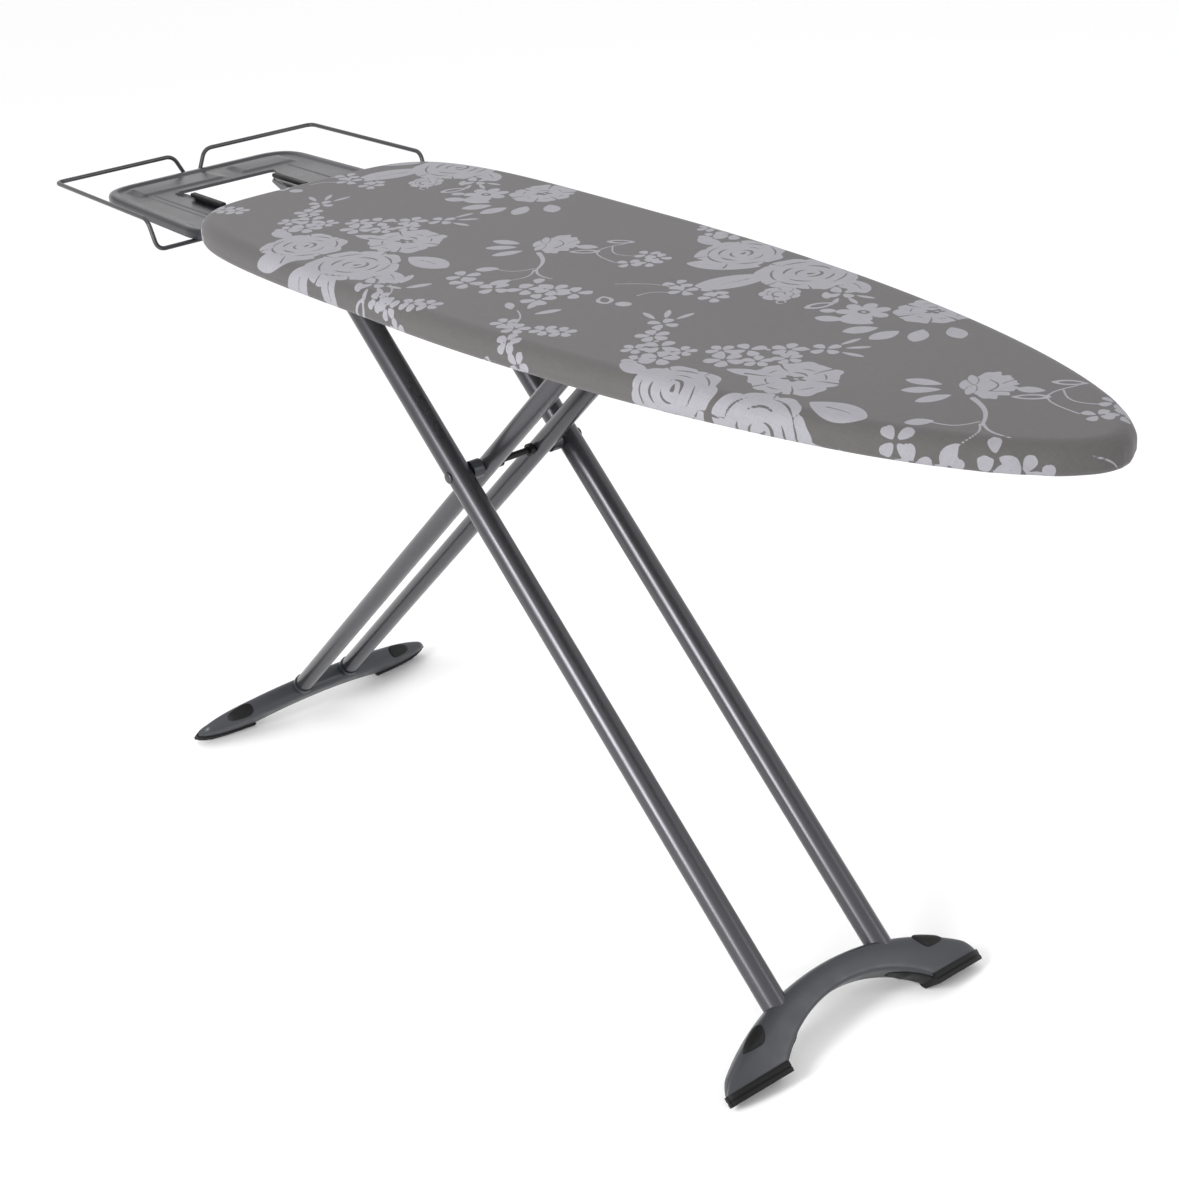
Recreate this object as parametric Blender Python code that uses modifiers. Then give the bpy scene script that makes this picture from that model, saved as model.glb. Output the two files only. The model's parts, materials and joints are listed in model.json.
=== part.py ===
"""Folding ironing board with a pressed steel iron rest.

+X points to the nose of the board, +Y to its far side and +Z up. The origin is on the floor,
under the middle of the object's bounding box. Lengths are metres.
"""
import math

import bmesh
import bpy
from mathutils import Matrix, Vector

# ---- driving dimensions ------------------------------------------------------------------
BOARD_TOP = 0.785           # ironing height in this setting
BOARD_TAIL = -0.500         # blunt end of the board
BOARD_NOSE = 0.788          # pointed end of the board
BOARD_WIDEST = -0.013       # where the board is widest
HALF_WIDTH = 0.206
TAIL_POWERS = (5.0, 5.0)    # superellipse powers of the blunt end, along and across
NOSE_POWERS = (1.9, 1.90)   # and of the pointed end

LEG_ANGLE = math.radians(43.0)      # both legs, from the horizontal
UPPER_ARM = 0.283           # from a leg's top pivot to the centre axle, equal on both legs
PIVOT_DROP = 0.063          # top pivots below the ironing surface
WIDE_HALF = 0.0795          # half the distance between the wide leg's tubes
NARROW_HALF = 0.0380        # half the distance between the narrow leg's tubes
WIDE_RADIUS = 0.0150
NARROW_RADIUS = 0.0120
TUBE_WALL = 0.0013

GAP = 0.0003                # what touching pieces keep between them
FABRIC = 0.0012
SHEET = 0.0012

# ---- heights that follow from them --------------------------------------------------------
PIVOT_Z = BOARD_TOP - PIVOT_DROP
AXLE_Z = PIVOT_Z - UPPER_ARM * math.sin(LEG_ANGLE)
AXLE_X = BOARD_TAIL + 0.406
HINGE_X = AXLE_X - UPPER_ARM * math.cos(LEG_ANGLE)
SLIDE_X = AXLE_X + UPPER_ARM * math.cos(LEG_ANGLE)
SLIDE_MIN = HINGE_X + 2 * UPPER_ARM * math.cos(math.radians(58.0))     # highest setting
SLIDE_MAX = HINGE_X + 2 * UPPER_ARM * math.cos(math.radians(5.5))      # folded

FELT_TOP = BOARD_TOP - FABRIC - GAP - 0.0002
FELT_THICK = 0.0065
PANEL_TOP = FELT_TOP - FELT_THICK - GAP
PANEL_BOTTOM = PANEL_TOP - SHEET
RIM_RADIUS = 0.009
RIM_INSET = 0.0125
RIM_STEPS = 36              # bends in each half of the rim
RIM_STRAIGHT = 0.008        # straight end of each half, where the halves meet
RIM_Z = PANEL_BOTTOM - GAP - RIM_RADIUS
WRAP_Z = RIM_Z - RIM_RADIUS - FABRIC - 0.0006      # underside of the cover's hem
BRACE_TOP = PANEL_BOTTOM - GAP
BRACE_THICK = 0.0040
BRACE_BOTTOM = BRACE_TOP - BRACE_THICK
HANG_TOP = BRACE_BOTTOM - GAP                      # what hangs from a brace starts here

TRAY_TOP = WRAP_Z - 0.0007
TRAY_SKIRT = 0.012
TRAY_REAR = BOARD_TAIL - 0.276
TRAY_FRONT = BOARD_TAIL + 0.017
WIRE_RADIUS = 0.00275
ARM_RADIUS = 0.0040

FOOT_BAND = 0.031           # height of the bow in the middle, along the leg
FOOT_HALF = 0.190
FOOT_END = 0.7660           # from the centre axle to the end of the rubber soles
SOLE = 0.0100               # thickness of the soles, along the leg
SOLE_LIP = 0.0080           # how far a sole turns up round its shell
SOLE_UNDER = 0.0040         # rubber between the shell's lowest edge and the floor
# From the centre axle to the top of the bow, the radii of its upper and lower edge, thickness.
FRONT_BOW = (0.682, 0.318, 0.165, 0.0325)
REAR_BOW = (0.699, 0.460, 0.215, 0.0275)

# ---- scene --------------------------------------------------------------------------------
for old in list(bpy.data.objects):
    bpy.data.objects.remove(old, do_unlink=True)


def collection(name):
    made = bpy.data.collections.new(name)
    bpy.context.scene.collection.children.link(made)
    return made


BOARD = collection("ironing_board")
CUTTERS = collection("cutters")


def material(name, colour, roughness, metallic=0.0):
    made = bpy.data.materials.new(name)
    made.use_nodes = True
    shader = made.node_tree.nodes["Principled BSDF"]
    shader.inputs["Base Color"].default_value = (*colour, 1.0)
    shader.inputs["Roughness"].default_value = roughness
    shader.inputs["Metallic"].default_value = metallic
    return made


LOOKS = {
    "painted": ((0.105, 0.105, 0.118), 0.42, 0.55),
    "tray": ((0.140, 0.140, 0.155), 0.38, 0.60),
    "wire": ((0.090, 0.090, 0.098), 0.45, 0.55),
    "zinc": ((0.56, 0.56, 0.54), 0.38, 1.00),
    "plastic": ((0.018, 0.018, 0.020), 0.50, 0.00),
    "rubber": ((0.010, 0.010, 0.011), 0.72, 0.00),
    "foot": ((0.115, 0.115, 0.125), 0.50, 0.15),
    "cover": ((0.182, 0.175, 0.178), 0.85, 0.00),
    "felt": ((0.62, 0.60, 0.56), 0.95, 0.00),
    "silicone": ((0.012, 0.012, 0.013), 0.60, 0.00),
}


def place(obj, look, parent=None, where=BOARD):
    """Link an object, give it its own material and hang it on its joint's empty."""
    where.objects.link(obj)
    if look:
        colour, roughness, metallic = LOOKS[look]
        obj.data.materials.append(material(obj.name, colour, roughness, metallic))
    if parent:
        obj.parent = parent
    return obj


def from_bmesh(name, shape, look, parent=None, matrix=None, smooth=None, where=BOARD):
    if matrix is not None:
        bmesh.ops.transform(shape, matrix=matrix, verts=shape.verts)
    bmesh.ops.recalc_face_normals(shape, faces=shape.faces)
    mesh = bpy.data.meshes.new(name)
    shape.to_mesh(mesh)
    shape.free()
    if smooth:
        mesh.shade_smooth()
        mesh.set_sharp_from_angle(angle=math.radians(smooth))
    return place(bpy.data.objects.new(name, mesh), look, parent, where)


def empty(name, location, turn):
    made = bpy.data.objects.new(name, None)
    BOARD.objects.link(made)
    made.location = location
    made.rotation_euler = (0.0, turn, 0.0)
    return made


# A leg's own frame: +X runs down the leg, +Y is the board's +Y, and Z is across the leg.
# Both leg frames start at their joint's axis.
WIDE = empty("wide_leg_axis", (HINGE_X, 0.0, PIVOT_Z), LEG_ANGLE)
NARROW = empty("narrow_leg_axis", (AXLE_X, 0.0, AXLE_Z), math.pi - LEG_ANGLE)
LEVER_X = BOARD_TAIL + 0.817
LEVER_Z = PIVOT_Z + 0.016
LEVER = empty("lock_lever_axis", (LEVER_X, 0.0, LEVER_Z), 0.0)


# ---- small shapes -------------------------------------------------------------------------
def box(name, low, high, look, parent=None, bevel=0.0, where=BOARD):
    shape = bmesh.new()
    size = Vector(high) - Vector(low)
    middle = (Vector(high) + Vector(low)) / 2
    turn = Matrix.Translation(middle) @ Matrix.Diagonal((*size, 1.0))
    bmesh.ops.create_cube(shape, size=1.0, matrix=turn)
    made = from_bmesh(name, shape, look, parent, where=where)
    if bevel:
        add_bevel(made, bevel, 1)
    return made


def cylinder(name, start, end, radius, look, parent=None, sides=24, where=BOARD):
    """A round bar from start to end."""
    shape = bmesh.new()
    along = Vector(end) - Vector(start)
    turn = Matrix.Translation((Vector(start) + Vector(end)) / 2)
    turn = turn @ along.to_track_quat("Z", "Y").to_matrix().to_4x4()
    bmesh.ops.create_cone(shape, cap_ends=True, segments=sides, radius1=radius, radius2=radius,
                          depth=along.length, matrix=turn)
    return from_bmesh(name, shape, look, parent, smooth=40, where=where)


def ring(name, start, end, outer, inner, look, parent=None, sides=24):
    """A hollow round piece, such as a tube, a bush or a collar, open at both ends."""
    shape = bmesh.new()
    along = Vector(end) - Vector(start)
    turn = Matrix.Translation((Vector(start) + Vector(end)) / 2)
    turn = turn @ along.to_track_quat("Z", "Y").to_matrix().to_4x4()
    bmesh.ops.create_cone(shape, cap_ends=False, segments=sides, radius1=outer, radius2=outer,
                          depth=along.length, matrix=turn)
    made = from_bmesh(name, shape, look, parent, smooth=40)
    wall = made.modifiers.new("wall", "SOLIDIFY")
    wall.thickness = outer - inner
    wall.offset = -1.0
    return made


def add_bevel(obj, width, segments=2, angle=35.0):
    edge = obj.modifiers.new("rounded_edges", "BEVEL")
    edge.width = width
    edge.segments = segments
    edge.limit_method = "ANGLE"
    edge.angle_limit = math.radians(angle)
    return edge


def cut(obj, cutter, operation="DIFFERENCE"):
    cutter.hide_render = True
    cutter.display_type = "WIRE"
    step = obj.modifiers.new(cutter.name, "BOOLEAN")
    step.operation = operation
    step.solver = "EXACT"
    step.object = cutter
    return step


def bore(obj, start, end, radius, parent=None):
    """Cut a round hole through an object."""
    name = f"{obj.name}_bore_{len(obj.modifiers)}"
    cut(obj, cylinder(name, start, end, radius, None, parent, where=CUTTERS))


def rod(name, points, radius, look, parent=None, bend=0.012):
    """A bent rod: straight runs between points, joined by round bends."""
    route = rounded(points, bend) if bend else points
    path = bpy.data.curves.new(name, "CURVE")
    path.dimensions = "3D"
    path.bevel_depth = radius
    path.bevel_resolution = 2
    path.render_resolution_u = 0
    path.use_fill_caps = True
    line = path.splines.new("POLY")
    line.points.add(len(route) - 1)
    line.use_smooth = True
    for spot, point in zip(line.points, route):
        spot.co = (*point, 1.0)
    return place(bpy.data.objects.new(name, path), look, parent)


def rounded(points, bend, steps=4):
    """Replace each inner corner of a path by a short curve that starts bend before it."""
    route = [Vector(points[0])]
    for before, corner, after in zip(points, points[1:], points[2:]):
        corner = Vector(corner)
        back = (Vector(before) - corner)
        ahead = (Vector(after) - corner)
        reach = min(bend, back.length * 0.45, ahead.length * 0.45)
        start = corner + back.normalized() * reach
        end = corner + ahead.normalized() * reach
        for step in range(steps + 1):
            t = step / steps
            route.append(start * (1 - t) ** 2 + corner * 2 * t * (1 - t) + end * t ** 2)
    route.append(Vector(points[-1]))
    return route


# ---- outline of the board -----------------------------------------------------------------
def half_outline(steps=240):
    """Upper half of the outline, from the middle of the tail to the tip of the nose."""
    tail, nose = BOARD_WIDEST - BOARD_TAIL, BOARD_NOSE - BOARD_WIDEST
    points = []
    for step in range(2 * steps + 1):
        turn = math.pi * (step / (2 * steps) - 0.5)
        along, across = TAIL_POWERS if turn < 0 else NOSE_POWERS
        length = tail if turn < 0 else nose
        x = BOARD_WIDEST + math.copysign(length * abs(math.sin(turn)) ** (2 / along), turn)
        y = HALF_WIDTH * max(math.cos(turn), 0.0) ** (2 / across)
        points.append(Vector((x, y)))
    return points


def evenly(points, count):
    """Points at equal distances along a closed outline."""
    loop = points + [points[0]]
    lengths = [0.0]
    for a, b in zip(loop, loop[1:]):
        lengths.append(lengths[-1] + (b - a).length)
    spots, place_at = [], 0
    for step in range(count):
        target = lengths[-1] * step / count
        while lengths[place_at + 1] < target:
            place_at += 1
        span = lengths[place_at + 1] - lengths[place_at]
        spots.append(loop[place_at].lerp(loop[place_at + 1], (target - lengths[place_at]) / span))
    return spots


def outline(inset, count=80):
    """The board's outline moved inwards by inset, as count points, counterclockwise."""
    upper = half_outline()
    lower = [Vector((p.x, -p.y)) for p in upper[1:-1]]
    loop = evenly(list(reversed(upper)) + lower, count)
    moved = []
    for step, point in enumerate(loop):
        way = loop[(step + 1) % count] - loop[step - 1]
        moved.append(point + Vector((-way.y, way.x)).normalized() * inset)
    return moved


def slab(name, points, low, high, look, parent=None):
    """A flat plate with the given outline."""
    shape = bmesh.new()
    floor = [shape.verts.new((p[0], p[1], low)) for p in points]
    face = shape.faces.new(floor)
    lifted = bmesh.ops.extrude_face_region(shape, geom=[face])
    verts = [item for item in lifted["geom"] if isinstance(item, bmesh.types.BMVert)]
    bmesh.ops.translate(shape, verts=verts, vec=(0.0, 0.0, high - low))
    return from_bmesh(name, shape, look, parent)


def half_width(x):
    """Half the board's width at x."""
    reach = BOARD_WIDEST - BOARD_TAIL if x < BOARD_WIDEST else BOARD_NOSE - BOARD_WIDEST
    along, across = TAIL_POWERS if x < BOARD_WIDEST else NOSE_POWERS
    t = abs(x - BOARD_WIDEST) / reach
    return HALF_WIDTH * (1.0 - t ** along) ** (1.0 / across)


# ---- board --------------------------------------------------------------------------------
def make_cover():
    """Fitted cover: flat top, rounded edge, short side and a hem that turns under the rim."""
    drop = BOARD_TOP - WRAP_Z
    profile = [(0.012, 0.0), (0.0055, 0.0018), (0.0018, 0.0060), (0.0, 0.0125),
               (0.0, drop - 0.0060), (0.0030, drop - 0.0012), (0.0090, drop), (0.0360, drop)]
    shape = bmesh.new()
    rings = []
    for inset, below in profile:
        rings.append([shape.verts.new((p.x, p.y, BOARD_TOP - below)) for p in outline(inset)])
    shape.faces.new(rings[0])
    for upper, lower in zip(rings, rings[1:]):
        for step in range(len(upper)):
            shape.faces.new((upper[step - 1], lower[step - 1], lower[step], upper[step]))
    made = from_bmesh("cover", shape, "cover", smooth=60)
    thick = made.modifiers.new("fabric", "SOLIDIFY")
    thick.thickness = FABRIC
    thick.offset = -1.0
    return made


def make_deck():
    make_cover()
    slab("felt_pad", outline(0.015), FELT_TOP - FELT_THICK, FELT_TOP, "felt")
    slab("top_panel", outline(RIM_INSET), PANEL_BOTTOM, PANEL_TOP, "painted")
    loop = outline(RIM_INSET, 2 * RIM_STEPS)
    nose, tail = loop[0].x - 0.003, loop[RIM_STEPS].x
    for side, name in ((1, "left"), (-1, "right")):
        route = [(nose, GAP), (nose, RIM_STRAIGHT)]
        route += [(p.x, p.y) for p in loop[1:RIM_STEPS]]
        route += [(tail, RIM_STRAIGHT), (tail, GAP)]
        rod(f"rim_frame_{name}", [(x, side * y, RIM_Z) for x, y in route], RIM_RADIUS, "painted",
            bend=None)


# Each brace's place along the board and half its width.
BRACES = {"brace_tail": (BOARD_TAIL + 0.102, 0.012), "brace_hinge": (HINGE_X, 0.018),
          "brace_mid": (BOARD_TAIL + 0.472, 0.012), "brace_front": (LEVER_X - 0.012, 0.026),
          "brace_nose": (BOARD_TAIL + 1.037, 0.012)}


def make_braces():
    """Flat bars from rim to rim, straight under the top panel."""
    for name, (x, half) in BRACES.items():
        reach = min(half_width(x - half), half_width(x + half)) - RIM_INSET - RIM_RADIUS - 0.0015
        box(name, (x - half, -reach, BRACE_BOTTOM), (x + half, reach, BRACE_TOP), "painted")


def make_hinge_brackets():
    """A U bracket over each tube of the wide leg, and the pin through both."""
    for side, name in ((-1, "right"), (1, "left")):
        y = side * WIDE_HALF
        ear = WIDE_RADIUS + 0.0005
        wide = ear + 0.0020
        made = box(f"hinge_bracket_{name}", (HINGE_X - 0.020, y - wide, PIVOT_Z - 0.012),
                   (HINGE_X + 0.020, y + wide, HANG_TOP), "zinc")
        hollow = box(f"hinge_bracket_{name}_hollow", (HINGE_X - 0.03, y - ear, PIVOT_Z - 0.02),
                     (HINGE_X + 0.03, y + ear, HANG_TOP - 0.0025), None, where=CUTTERS)
        cut(made, hollow)
        bore(made, (HINGE_X, y - 0.03, PIVOT_Z), (HINGE_X, y + 0.03, PIVOT_Z), PIN_RADIUS + GAP)
    reach = WIDE_HALF + WIDE_RADIUS + 0.0070
    cylinder("hinge_pin", (HINGE_X, -reach, PIVOT_Z), (HINGE_X, reach, PIVOT_Z), PIN_RADIUS,
             "zinc", sides=16)


PIN_RADIUS = 0.0040
ROLLER_RADIUS = 0.0120
RAIL_SHEET = 0.0015
RAIL_REAR = SLIDE_MIN - 0.042
RAIL_FRONT = SLIDE_MAX + 0.036
RAIL_OUTER = WIDE_HALF - WIDE_RADIUS - 0.0020
RAIL_INNER = NARROW_HALF + NARROW_RADIUS + 0.0015
RAIL_TOP = PIVOT_Z + ROLLER_RADIUS + 0.0004 + RAIL_SHEET
RAIL_BOTTOM = PIVOT_Z - ROLLER_RADIUS - 0.0004 - RAIL_SHEET


def make_rails():
    """Two C-section rails that face each other, hung from the braces by two bridges."""
    for side, name in ((-1, "right"), (1, "left")):
        low, high = sorted((side * RAIL_INNER, side * RAIL_OUTER))
        made = box(f"guide_rail_{name}", (RAIL_REAR, low, RAIL_BOTTOM),
                   (RAIL_FRONT, high, RAIL_TOP), "zinc")
        web = RAIL_OUTER - RAIL_SHEET
        low, high = sorted((side * (RAIL_INNER - 0.01), side * web))
        hollow = box(f"guide_rail_{name}_hollow", (RAIL_REAR - 0.01, low, RAIL_BOTTOM + RAIL_SHEET),
                     (RAIL_FRONT + 0.01, high, RAIL_TOP - RAIL_SHEET), None, where=CUTTERS)
        cut(made, hollow)
    for name, x in (("rail_bridge_rear", BRACES["brace_mid"][0]),
                    ("rail_bridge_front", LEVER_X - 0.027)):
        made = box(name, (x - 0.009, -RAIL_OUTER, RAIL_TOP + GAP), (x + 0.009, RAIL_OUTER, HANG_TOP),
                   "zinc")
        hollow = box(f"{name}_hollow", (x - 0.02, -RAIL_INNER, RAIL_TOP - 0.01),
                     (x + 0.02, RAIL_INNER, HANG_TOP - 0.0020), None, where=CUTTERS)
        cut(made, hollow)


# ---- iron rest ----------------------------------------------------------------------------
def corner_arc(middle, radius, start, end, steps=5):
    """Points of a round corner, with its angles in degrees."""
    points = []
    for step in range(steps + 1):
        turn = math.radians(start + (end - start) * step / steps)
        points.append((middle[0] + radius * math.cos(turn), middle[1] + radius * math.sin(turn)))
    return points


def tray_outline(inset=0.0):
    """The tray widens towards the board, and all its corners are round."""
    rear, front = 0.144 - inset, 0.154 - inset
    r = 0.040 - inset
    low, high = TRAY_REAR + inset, TRAY_FRONT - inset
    points = corner_arc((low + r, -rear + r), r, 180, 265)
    points += corner_arc((high - r, -front + r), r, 275, 360)
    points += corner_arc((high - r, front - r), r, 0, 85)
    points += corner_arc((low + r, rear - r), r, 95, 180)
    return points


# Corners of the opening, with x counted from the board's tail.
OPENING = [(-0.184, -0.076), (-0.184, 0.067), (-0.164, 0.060), (-0.142, 0.038), (-0.083, 0.020),
           (-0.020, 0.020), (-0.020, -0.069), (-0.163, -0.069)]


def make_tray():
    """Pressed sheet with a skirt all round and an opening for the iron."""
    shape = bmesh.new()
    levels = [(0.0050, 0.0), (0.0012, 0.0016), (0.0, 0.0050), (0.0, TRAY_SKIRT)]
    rings = []
    for inset, below in levels:
        spots = tray_outline(inset)
        rings.append([shape.verts.new((x, y, TRAY_TOP - below)) for x, y in spots])
    shape.faces.new(rings[0])
    for upper, lower in zip(rings, rings[1:]):
        for step in range(len(upper)):
            shape.faces.new((upper[step - 1], lower[step - 1], lower[step], upper[step]))
    made = from_bmesh("iron_rest_tray", shape, "tray", smooth=50)
    wall = made.modifiers.new("sheet", "SOLIDIFY")
    wall.thickness = SHEET
    wall.offset = -1.0
    corners = [(BOARD_TAIL + x, y) for x, y in OPENING]
    hole = slab("iron_rest_opening", corners, TRAY_TOP - 0.02, TRAY_TOP + 0.02, None)
    BOARD.objects.unlink(hole)
    CUTTERS.objects.link(hole)
    cut(made, hole)
    for side, name in ((-1, "right"), (1, "left")):
        y = side * ARM_Y
        slot = box(f"tray_slot_{name}", (TRAY_FRONT - 0.01, y - ARM_RADIUS - GAP, TRAY_TOP - 0.02),
                   (TRAY_FRONT + 0.01, y + ARM_RADIUS + GAP, TRAY_TOP - SHEET - 0.0001), None,
                   where=CUTTERS)
        cut(made, slot)


ARM_Y = 0.100
SCREW_X = BOARD_TAIL - 0.043
PAD_LONG = 0.078
PAD_REAR = BOARD_TAIL - 0.149


def make_tray_pads():
    """A silicone strip stands beside each long edge of the opening."""
    for y, name in ((-0.0735, "right"), (0.0475, "left")):
        box(f"tray_pad_{name}", (PAD_REAR, y - 0.0040, TRAY_TOP + GAP),
            (PAD_REAR + PAD_LONG, y + 0.0040, TRAY_TOP + 0.0055), "silicone", bevel=0.0012)


def make_tray_arms():
    """A rod on each side carries the tray from the tail brace, with a screw from above."""
    level = TRAY_TOP - SHEET - GAP - ARM_RADIUS
    x, half = BRACES["brace_tail"]
    start = x - half - 0.0006
    top = BRACE_TOP - ARM_RADIUS
    for side, name in ((-1, "right"), (1, "left")):
        y = side * ARM_Y
        rod(f"tray_arm_{name}", [(start, y, top), (start - 0.010, y, top),
                                 (start - 0.030, y, level), (TRAY_REAR + 0.052, y, level)],
            ARM_RADIUS, "painted", bend=0.008)
        cylinder(f"tray_screw_{name}", (SCREW_X, y, TRAY_TOP + GAP),
                 (SCREW_X, y, TRAY_TOP + 0.0025), 0.0050, "zinc", sides=16)


WIRE_Z = 0.775
WIRE_Y = 0.193
WIRE_REAR = WIRE_RADIUS - BOARD_NOSE
WIRE_FRONT = BOARD_TAIL - 0.031
WIRE_LOW = TRAY_TOP - TRAY_SKIRT - GAP - WIRE_RADIUS - 0.0005


def make_wires():
    """Two mirrored wires: from under the tray's rear edge up, round and back under the tray."""
    for side, name in ((-1, "right"), (1, "left")):
        route = [(TRAY_REAR + 0.025, 0.007, WIRE_LOW), (TRAY_REAR - 0.006, 0.007, WIRE_LOW),
                 (WIRE_REAR, 0.024, WIRE_Z), (WIRE_REAR, WIRE_Y, WIRE_Z),
                 (WIRE_FRONT, WIRE_Y + 0.007, WIRE_Z),
                 (WIRE_FRONT + 0.012, WIRE_Y + 0.005, WIRE_LOW),
                 (WIRE_FRONT + 0.012, ARM_Y - 0.010, WIRE_LOW)]
        rod(f"wire_rail_{name}", [(x, side * y, z) for x, y, z in route], WIRE_RADIUS, "wire",
            bend=0.011)


# ---- legs ---------------------------------------------------------------------------------
def leg_tube(name, parent, start, end, y, radius, holes):
    """A hollow tube along its leg, with cross holes at the given distances."""
    made = ring(name, (start, y, 0.0), (end, y, 0.0), radius, radius - TUBE_WALL, "painted", parent,
                sides=28)
    for x, size in holes:
        bore(made, (x, y - 0.03, 0.0), (x, y + 0.03, 0.0), size, parent)
    return made


SOCKET = 0.020              # how deep a tube sits in its foot
CROSSBAR_RADIUS = 0.0070


def bow_edge(y, top, radius):
    """Distance down the leg of a bow's edge at y."""
    return top + radius - math.sqrt(radius * radius - y * y)


def bow_outline(bow, end, grow=0.0):
    """A wide arc on top, a tighter one underneath, and straight ends across the leg."""
    top, over, under = bow[:3]
    half = FOOT_HALF + grow
    steps = 16
    points = []
    for step in range(steps + 1):
        y = -half + 2 * half * step / steps
        points.append((bow_edge(y, top - grow, over), y))
    lower = top + FOOT_BAND + grow
    inner = math.sqrt(under ** 2 - (lower + under - end) ** 2)
    points.append((end, half))
    for step in range(steps + 1):
        y = inner - 2 * inner * step / steps
        points.append((bow_edge(y, lower, under), y))
    points.append((end, -half))
    return points


def extruded(name, points, low, high, look, parent, where=CUTTERS):
    """A flat outline in the leg's X and Y, given thickness across the leg."""
    shape = bmesh.new()
    flat = [shape.verts.new((x, y, low)) for x, y in points]
    face = shape.faces.new(flat)
    lifted = bmesh.ops.extrude_face_region(shape, geom=[face])
    verts = [item for item in lifted["geom"] if isinstance(item, bmesh.types.BMVert)]
    bmesh.ops.translate(shape, verts=verts, vec=(0.0, 0.0, high - low))
    return from_bmesh(name, shape, look, parent, where=where)


def bow_blank(name, leg, bow, end, grow=0.0, look=None, where=CUTTERS):
    """The bow as a plate across the leg, with round tips."""
    parent, shift = leg
    points = [(x + shift, y) for x, y in bow_outline(bow, end, grow)]
    half = bow[3] / 2 + grow
    made = extruded(name, points, -half, half, look, parent, where)
    long = FOOT_HALF + grow
    round_tip = half * 0.9
    tips = corner_arc((long - round_tip, half - round_tip), round_tip, 0, 90)
    tips += corner_arc((round_tip - long, half - round_tip), round_tip, 90, 180)
    tips += corner_arc((round_tip - long, round_tip - half), round_tip, 180, 270)
    tips += corner_arc((long - round_tip, round_tip - half), round_tip, 270, 360)
    shape = bmesh.new()
    flat = [shape.verts.new((shift + 0.60, y, z)) for y, z in tips]
    face = shape.faces.new(flat)
    lifted = bmesh.ops.extrude_face_region(shape, geom=[face])
    verts = [item for item in lifted["geom"] if isinstance(item, bmesh.types.BMVert)]
    bmesh.ops.translate(shape, verts=verts, vec=(0.25, 0.0, 0.0))
    cut(made, from_bmesh(f"{name}_tips", shape, None, parent, where=CUTTERS), "INTERSECT")
    return made


def below(name, level):
    """A cutter for everything under a height."""
    return box(name, (-1.2, -0.4, -0.4), (1.2, 0.4, level), None, where=CUTTERS)


def make_foot(name, leg, bow, tube_half, tube_radius, band):
    """A bow-shaped shell with a rubber sole at each end and a rubber bumper on each shoulder.

    leg is the leg's empty and the place of the centre axle along it; band is where the bumpers
    lie across the leg.
    """
    parent, shift = leg
    end = FOOT_END - SOLE
    foot = bow_blank(name, leg, bow, end, 0.0, "foot", BOARD)
    add_bevel(foot, 0.0035, 2, angle=50.0)
    cut(foot, below(f"{name}_ground", SOLE_UNDER))
    for side, label in ((-1, "right"), (1, "left")):
        y = side * tube_half
        bottom = shift + bow_edge(y, bow[0], bow[1]) + SOCKET
        bore(foot, (bottom - 0.06, y, 0.0), (bottom, y, 0.0), tube_radius + GAP, parent)
        make_sole(f"{name}_sole_{label}", leg, bow, side)
        make_bumper(f"{name}_bumper_{label}", leg, bow, side, band)


def make_sole(name, leg, bow, side):
    """A rubber cup round one end of the bow, cut flat where it stands on the floor."""
    parent, shift = leg
    sole = bow_blank(name, leg, bow, FOOT_END, 0.0016, "rubber", BOARD)
    low, high = sorted((side * 0.100, side * 0.220))
    start = shift + FOOT_END - SOLE - SOLE_LIP
    keep = box(f"{name}_slice", (start, low, -0.03), (start + 0.05, high, 0.03), None, parent,
               where=CUTTERS)
    cut(sole, keep, "INTERSECT")
    inside = bow_blank(f"{name}_inside", leg, bow, FOOT_END - SOLE + GAP, GAP)
    cut(inside, below(f"{name}_inside_ground", SOLE_UNDER - GAP))
    cut(sole, inside)
    cut(sole, below(f"{name}_ground", 0.0))


BUMPER = (0.116, 0.150)     # where a bumper starts and ends along the bow


def make_bumper(name, leg, bow, side, band):
    """A thin rubber pad bent over the bow's shoulder."""
    parent, shift = leg
    pad = bow_blank(name, leg, bow, FOOT_END, 0.0024, "rubber", BOARD)
    low, high = sorted((side * BUMPER[0], side * BUMPER[1]))
    top = shift + bow_edge(BUMPER[0], bow[0], bow[1]) - 0.010
    bottom = shift + bow_edge(BUMPER[1], bow[0], bow[1]) + 0.008
    corners = [(top, low), (bottom, low), (bottom, high), (top, high)]
    cut(pad, extruded(f"{name}_slice", corners, *band, None, parent), "INTERSECT")
    cut(pad, bow_blank(f"{name}_inside", leg, bow, FOOT_END + 0.01, GAP))


AXLE_RADIUS = 0.0040


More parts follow.
